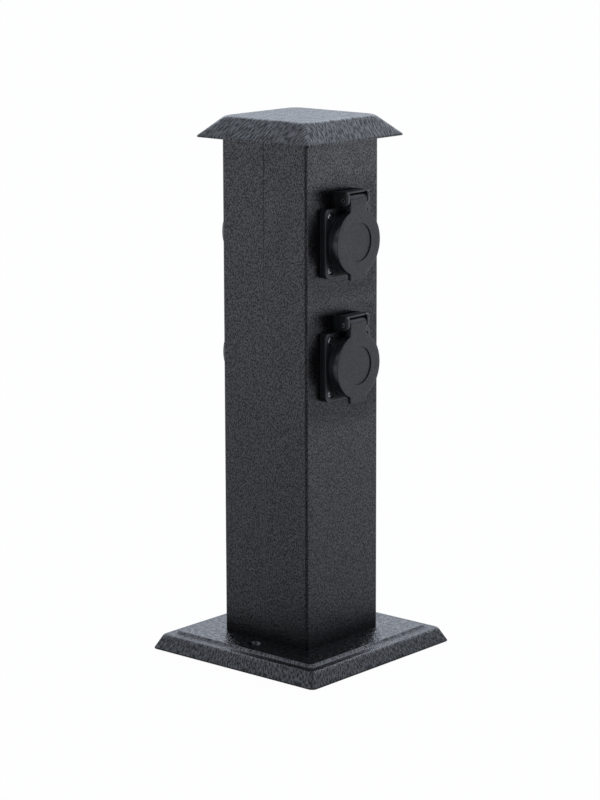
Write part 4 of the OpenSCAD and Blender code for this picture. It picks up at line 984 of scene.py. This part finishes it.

# %% [markdown]
# ## Studio
# The post stands on white paper in a white studio. Its upright faces mirror the paper, which glows in
# mirrored rays with painted light: brightest some way off to the right, with painted shade towards the
# post and to the left. The room is dark round the camera, and the paper there by painted shade, so an
# edge that points at the camera shows as a dark line, and a soft lamp above on the right lights the
# cap's right-hand slope. Rays from the camera see plain white, and the paper keeps a little of the
# post's soft shadow.

# %% World
scene.view_settings.view_transform = "Standard"
middle_of_post = Vector((0, 0, POST_TOP / 2))
TO_CAMERA = tuple((camera.location - middle_of_post).normalized())
CAMERA_SIDE = (-math.sin(AZIMUTH), -math.cos(AZIMUTH), 0)
RIGHT_SIDE = (math.sin(AZIMUTH), -math.cos(AZIMUTH), 0)
FRONT_LEVEL = 0.28
ROOM_TINT, PAPER_TINT, WHITE = (0.89, 0.965, 1.1), (0.935, 0.97, 1.05), (1, 1, 1)
world = bpy.data.worlds.new("studio")
scene.world = world
world.use_nodes = True
room = world.node_tree.nodes
way = room.new("ShaderNodeTexCoord").outputs["Generated"]
toward = partial(vector_math, "DOT_PRODUCT")
ramp = partial(fade, course="SMOOTHSTEP")


def shine(light, rays, level, tint):
    """Gives a light the level and tint that are mirrored; rays from the camera see plain white."""
    seen = rays["Is Camera Ray"]
    put(fade(seen, 0.0, 1.0, level, 1.0), light.inputs["Strength"])
    put(mixed(seen, tint, WHITE), light.inputs["Color"])


height = split(way)[2]
overhead = ramp(height, 0.4, 0.75, 1.0, 0.68)
beside = ramp(height, 0.27, 0.35, 0.4, overhead)
behind = ramp(height, 0.14, 0.28, 0.5, 1.58)
flat_way = vector_math("NORMALIZE", vector_math("MULTIPLY", way, (1, 1, 0)))
level = ramp(toward(flat_way, CAMERA_SIDE), -0.95, -0.55, behind, beside)
level = times(level, ramp(toward(way, RIGHT_SIDE), -0.3, 0.3, 0.98, 1.18))
level = ramp(toward(way, TO_CAMERA), 0.55, 0.85, level, FRONT_LEVEL)
shine(room["Background"], room.new("ShaderNodeLightPath").outputs, level, ROOM_TINT)

# %% Lamp
LAMP_AT, LAMP_SIZE, LAMP_WATTS = (1.15, -0.22, 1.3), 0.9, 0.2
lamp = bpy.data.lights.new("soft lamp", "AREA")
lamp.size, lamp.energy = LAMP_SIZE, LAMP_WATTS
lamp_holder = new_object("soft lamp", lamp)
lamp_holder.location = LAMP_AT
lamp_holder.rotation_mode = "QUATERNION"
lamp_holder.rotation_quaternion = (middle_of_post - lamp_holder.location).to_track_quat("-Z", "Y")

# %% Paper
FLOOR_HALF, PAPER_Z = 60.0, -0.2 * MM
PAPER_SHADE, PAPER_ROUGH = (0.86, 0.86, 0.86, 1), 0.9
PAPER_WHITE, PAPER_MIRRORED = 0.97, 0.85
FAR_PAPER, FALL_POWER = 3.3, 0.24
floor_mesh = bpy.data.meshes.new("floor")
corners = [(x * FLOOR_HALF, y * FLOOR_HALF, PAPER_Z) for x, y in ((-1, -1), (1, -1), (1, 1), (-1, 1))]
floor_mesh.from_pydata(corners, [], [(0, 1, 2, 3)])
floor = new_object("floor", floor_mesh)
paper = bpy.data.materials.new("white paper")
paper.use_nodes = True
sheet = paper.node_tree.nodes
diffuse = sheet["Principled BSDF"]
put(PAPER_SHADE, diffuse.inputs["Base Color"])
put(PAPER_ROUGH, diffuse.inputs["Roughness"])
put(0.0, diffuse.inputs["Specular IOR Level"])
spot = sheet.new("ShaderNodeTexCoord").outputs["Object"]
rays = sheet.new("ShaderNodeLightPath").outputs
# Painted light: the paper's glow, seen only in mirrored rays, is nil within 7 cm of the post and full by 17 cm as
# painted shade, rises far off and to the right, and drops towards the camera as painted shade.
how_far = vector_math("LENGTH", spot)
share_of_far = calc("MINIMUM", calc("DIVIDE", how_far, FAR_PAPER), 1.0)
by_distance = times(calc("POWER", share_of_far, FALL_POWER), ramp(how_far, 0.07, 0.17, 0.0, 1.0),
                    ramp(how_far, 1.0, 4.0, 1.0, 1.26))
by_side = ramp(toward(spot, RIGHT_SIDE), -0.2, 0.2, 1.06, 1.25)
by_front = ramp(toward(vector_math("NORMALIZE", spot), CAMERA_SIDE), 0.35, 0.8, 1.0, FRONT_LEVEL)
glow = sheet.new("ShaderNodeEmission")
shine(glow, rays, times(by_side, by_distance, by_front), PAPER_TINT)
mirrored_ray = calc("MAXIMUM", rays["Is Glossy Ray"], rays["Is Transmission Ray"])
glow_share = calc("MAXIMUM", times(rays["Is Camera Ray"], PAPER_WHITE),
                  times(mirrored_ray, PAPER_MIRRORED))
lit_paper = add_node("ShaderNodeMixShader", {}, glow_share, diffuse.outputs[0], glow.outputs[0])
put(lit_paper.outputs[0], sheet["Material Output"].inputs["Surface"])
floor_mesh.materials.append(paper)
print("paper at", floor_mesh.vertices[0].co.z, "m")
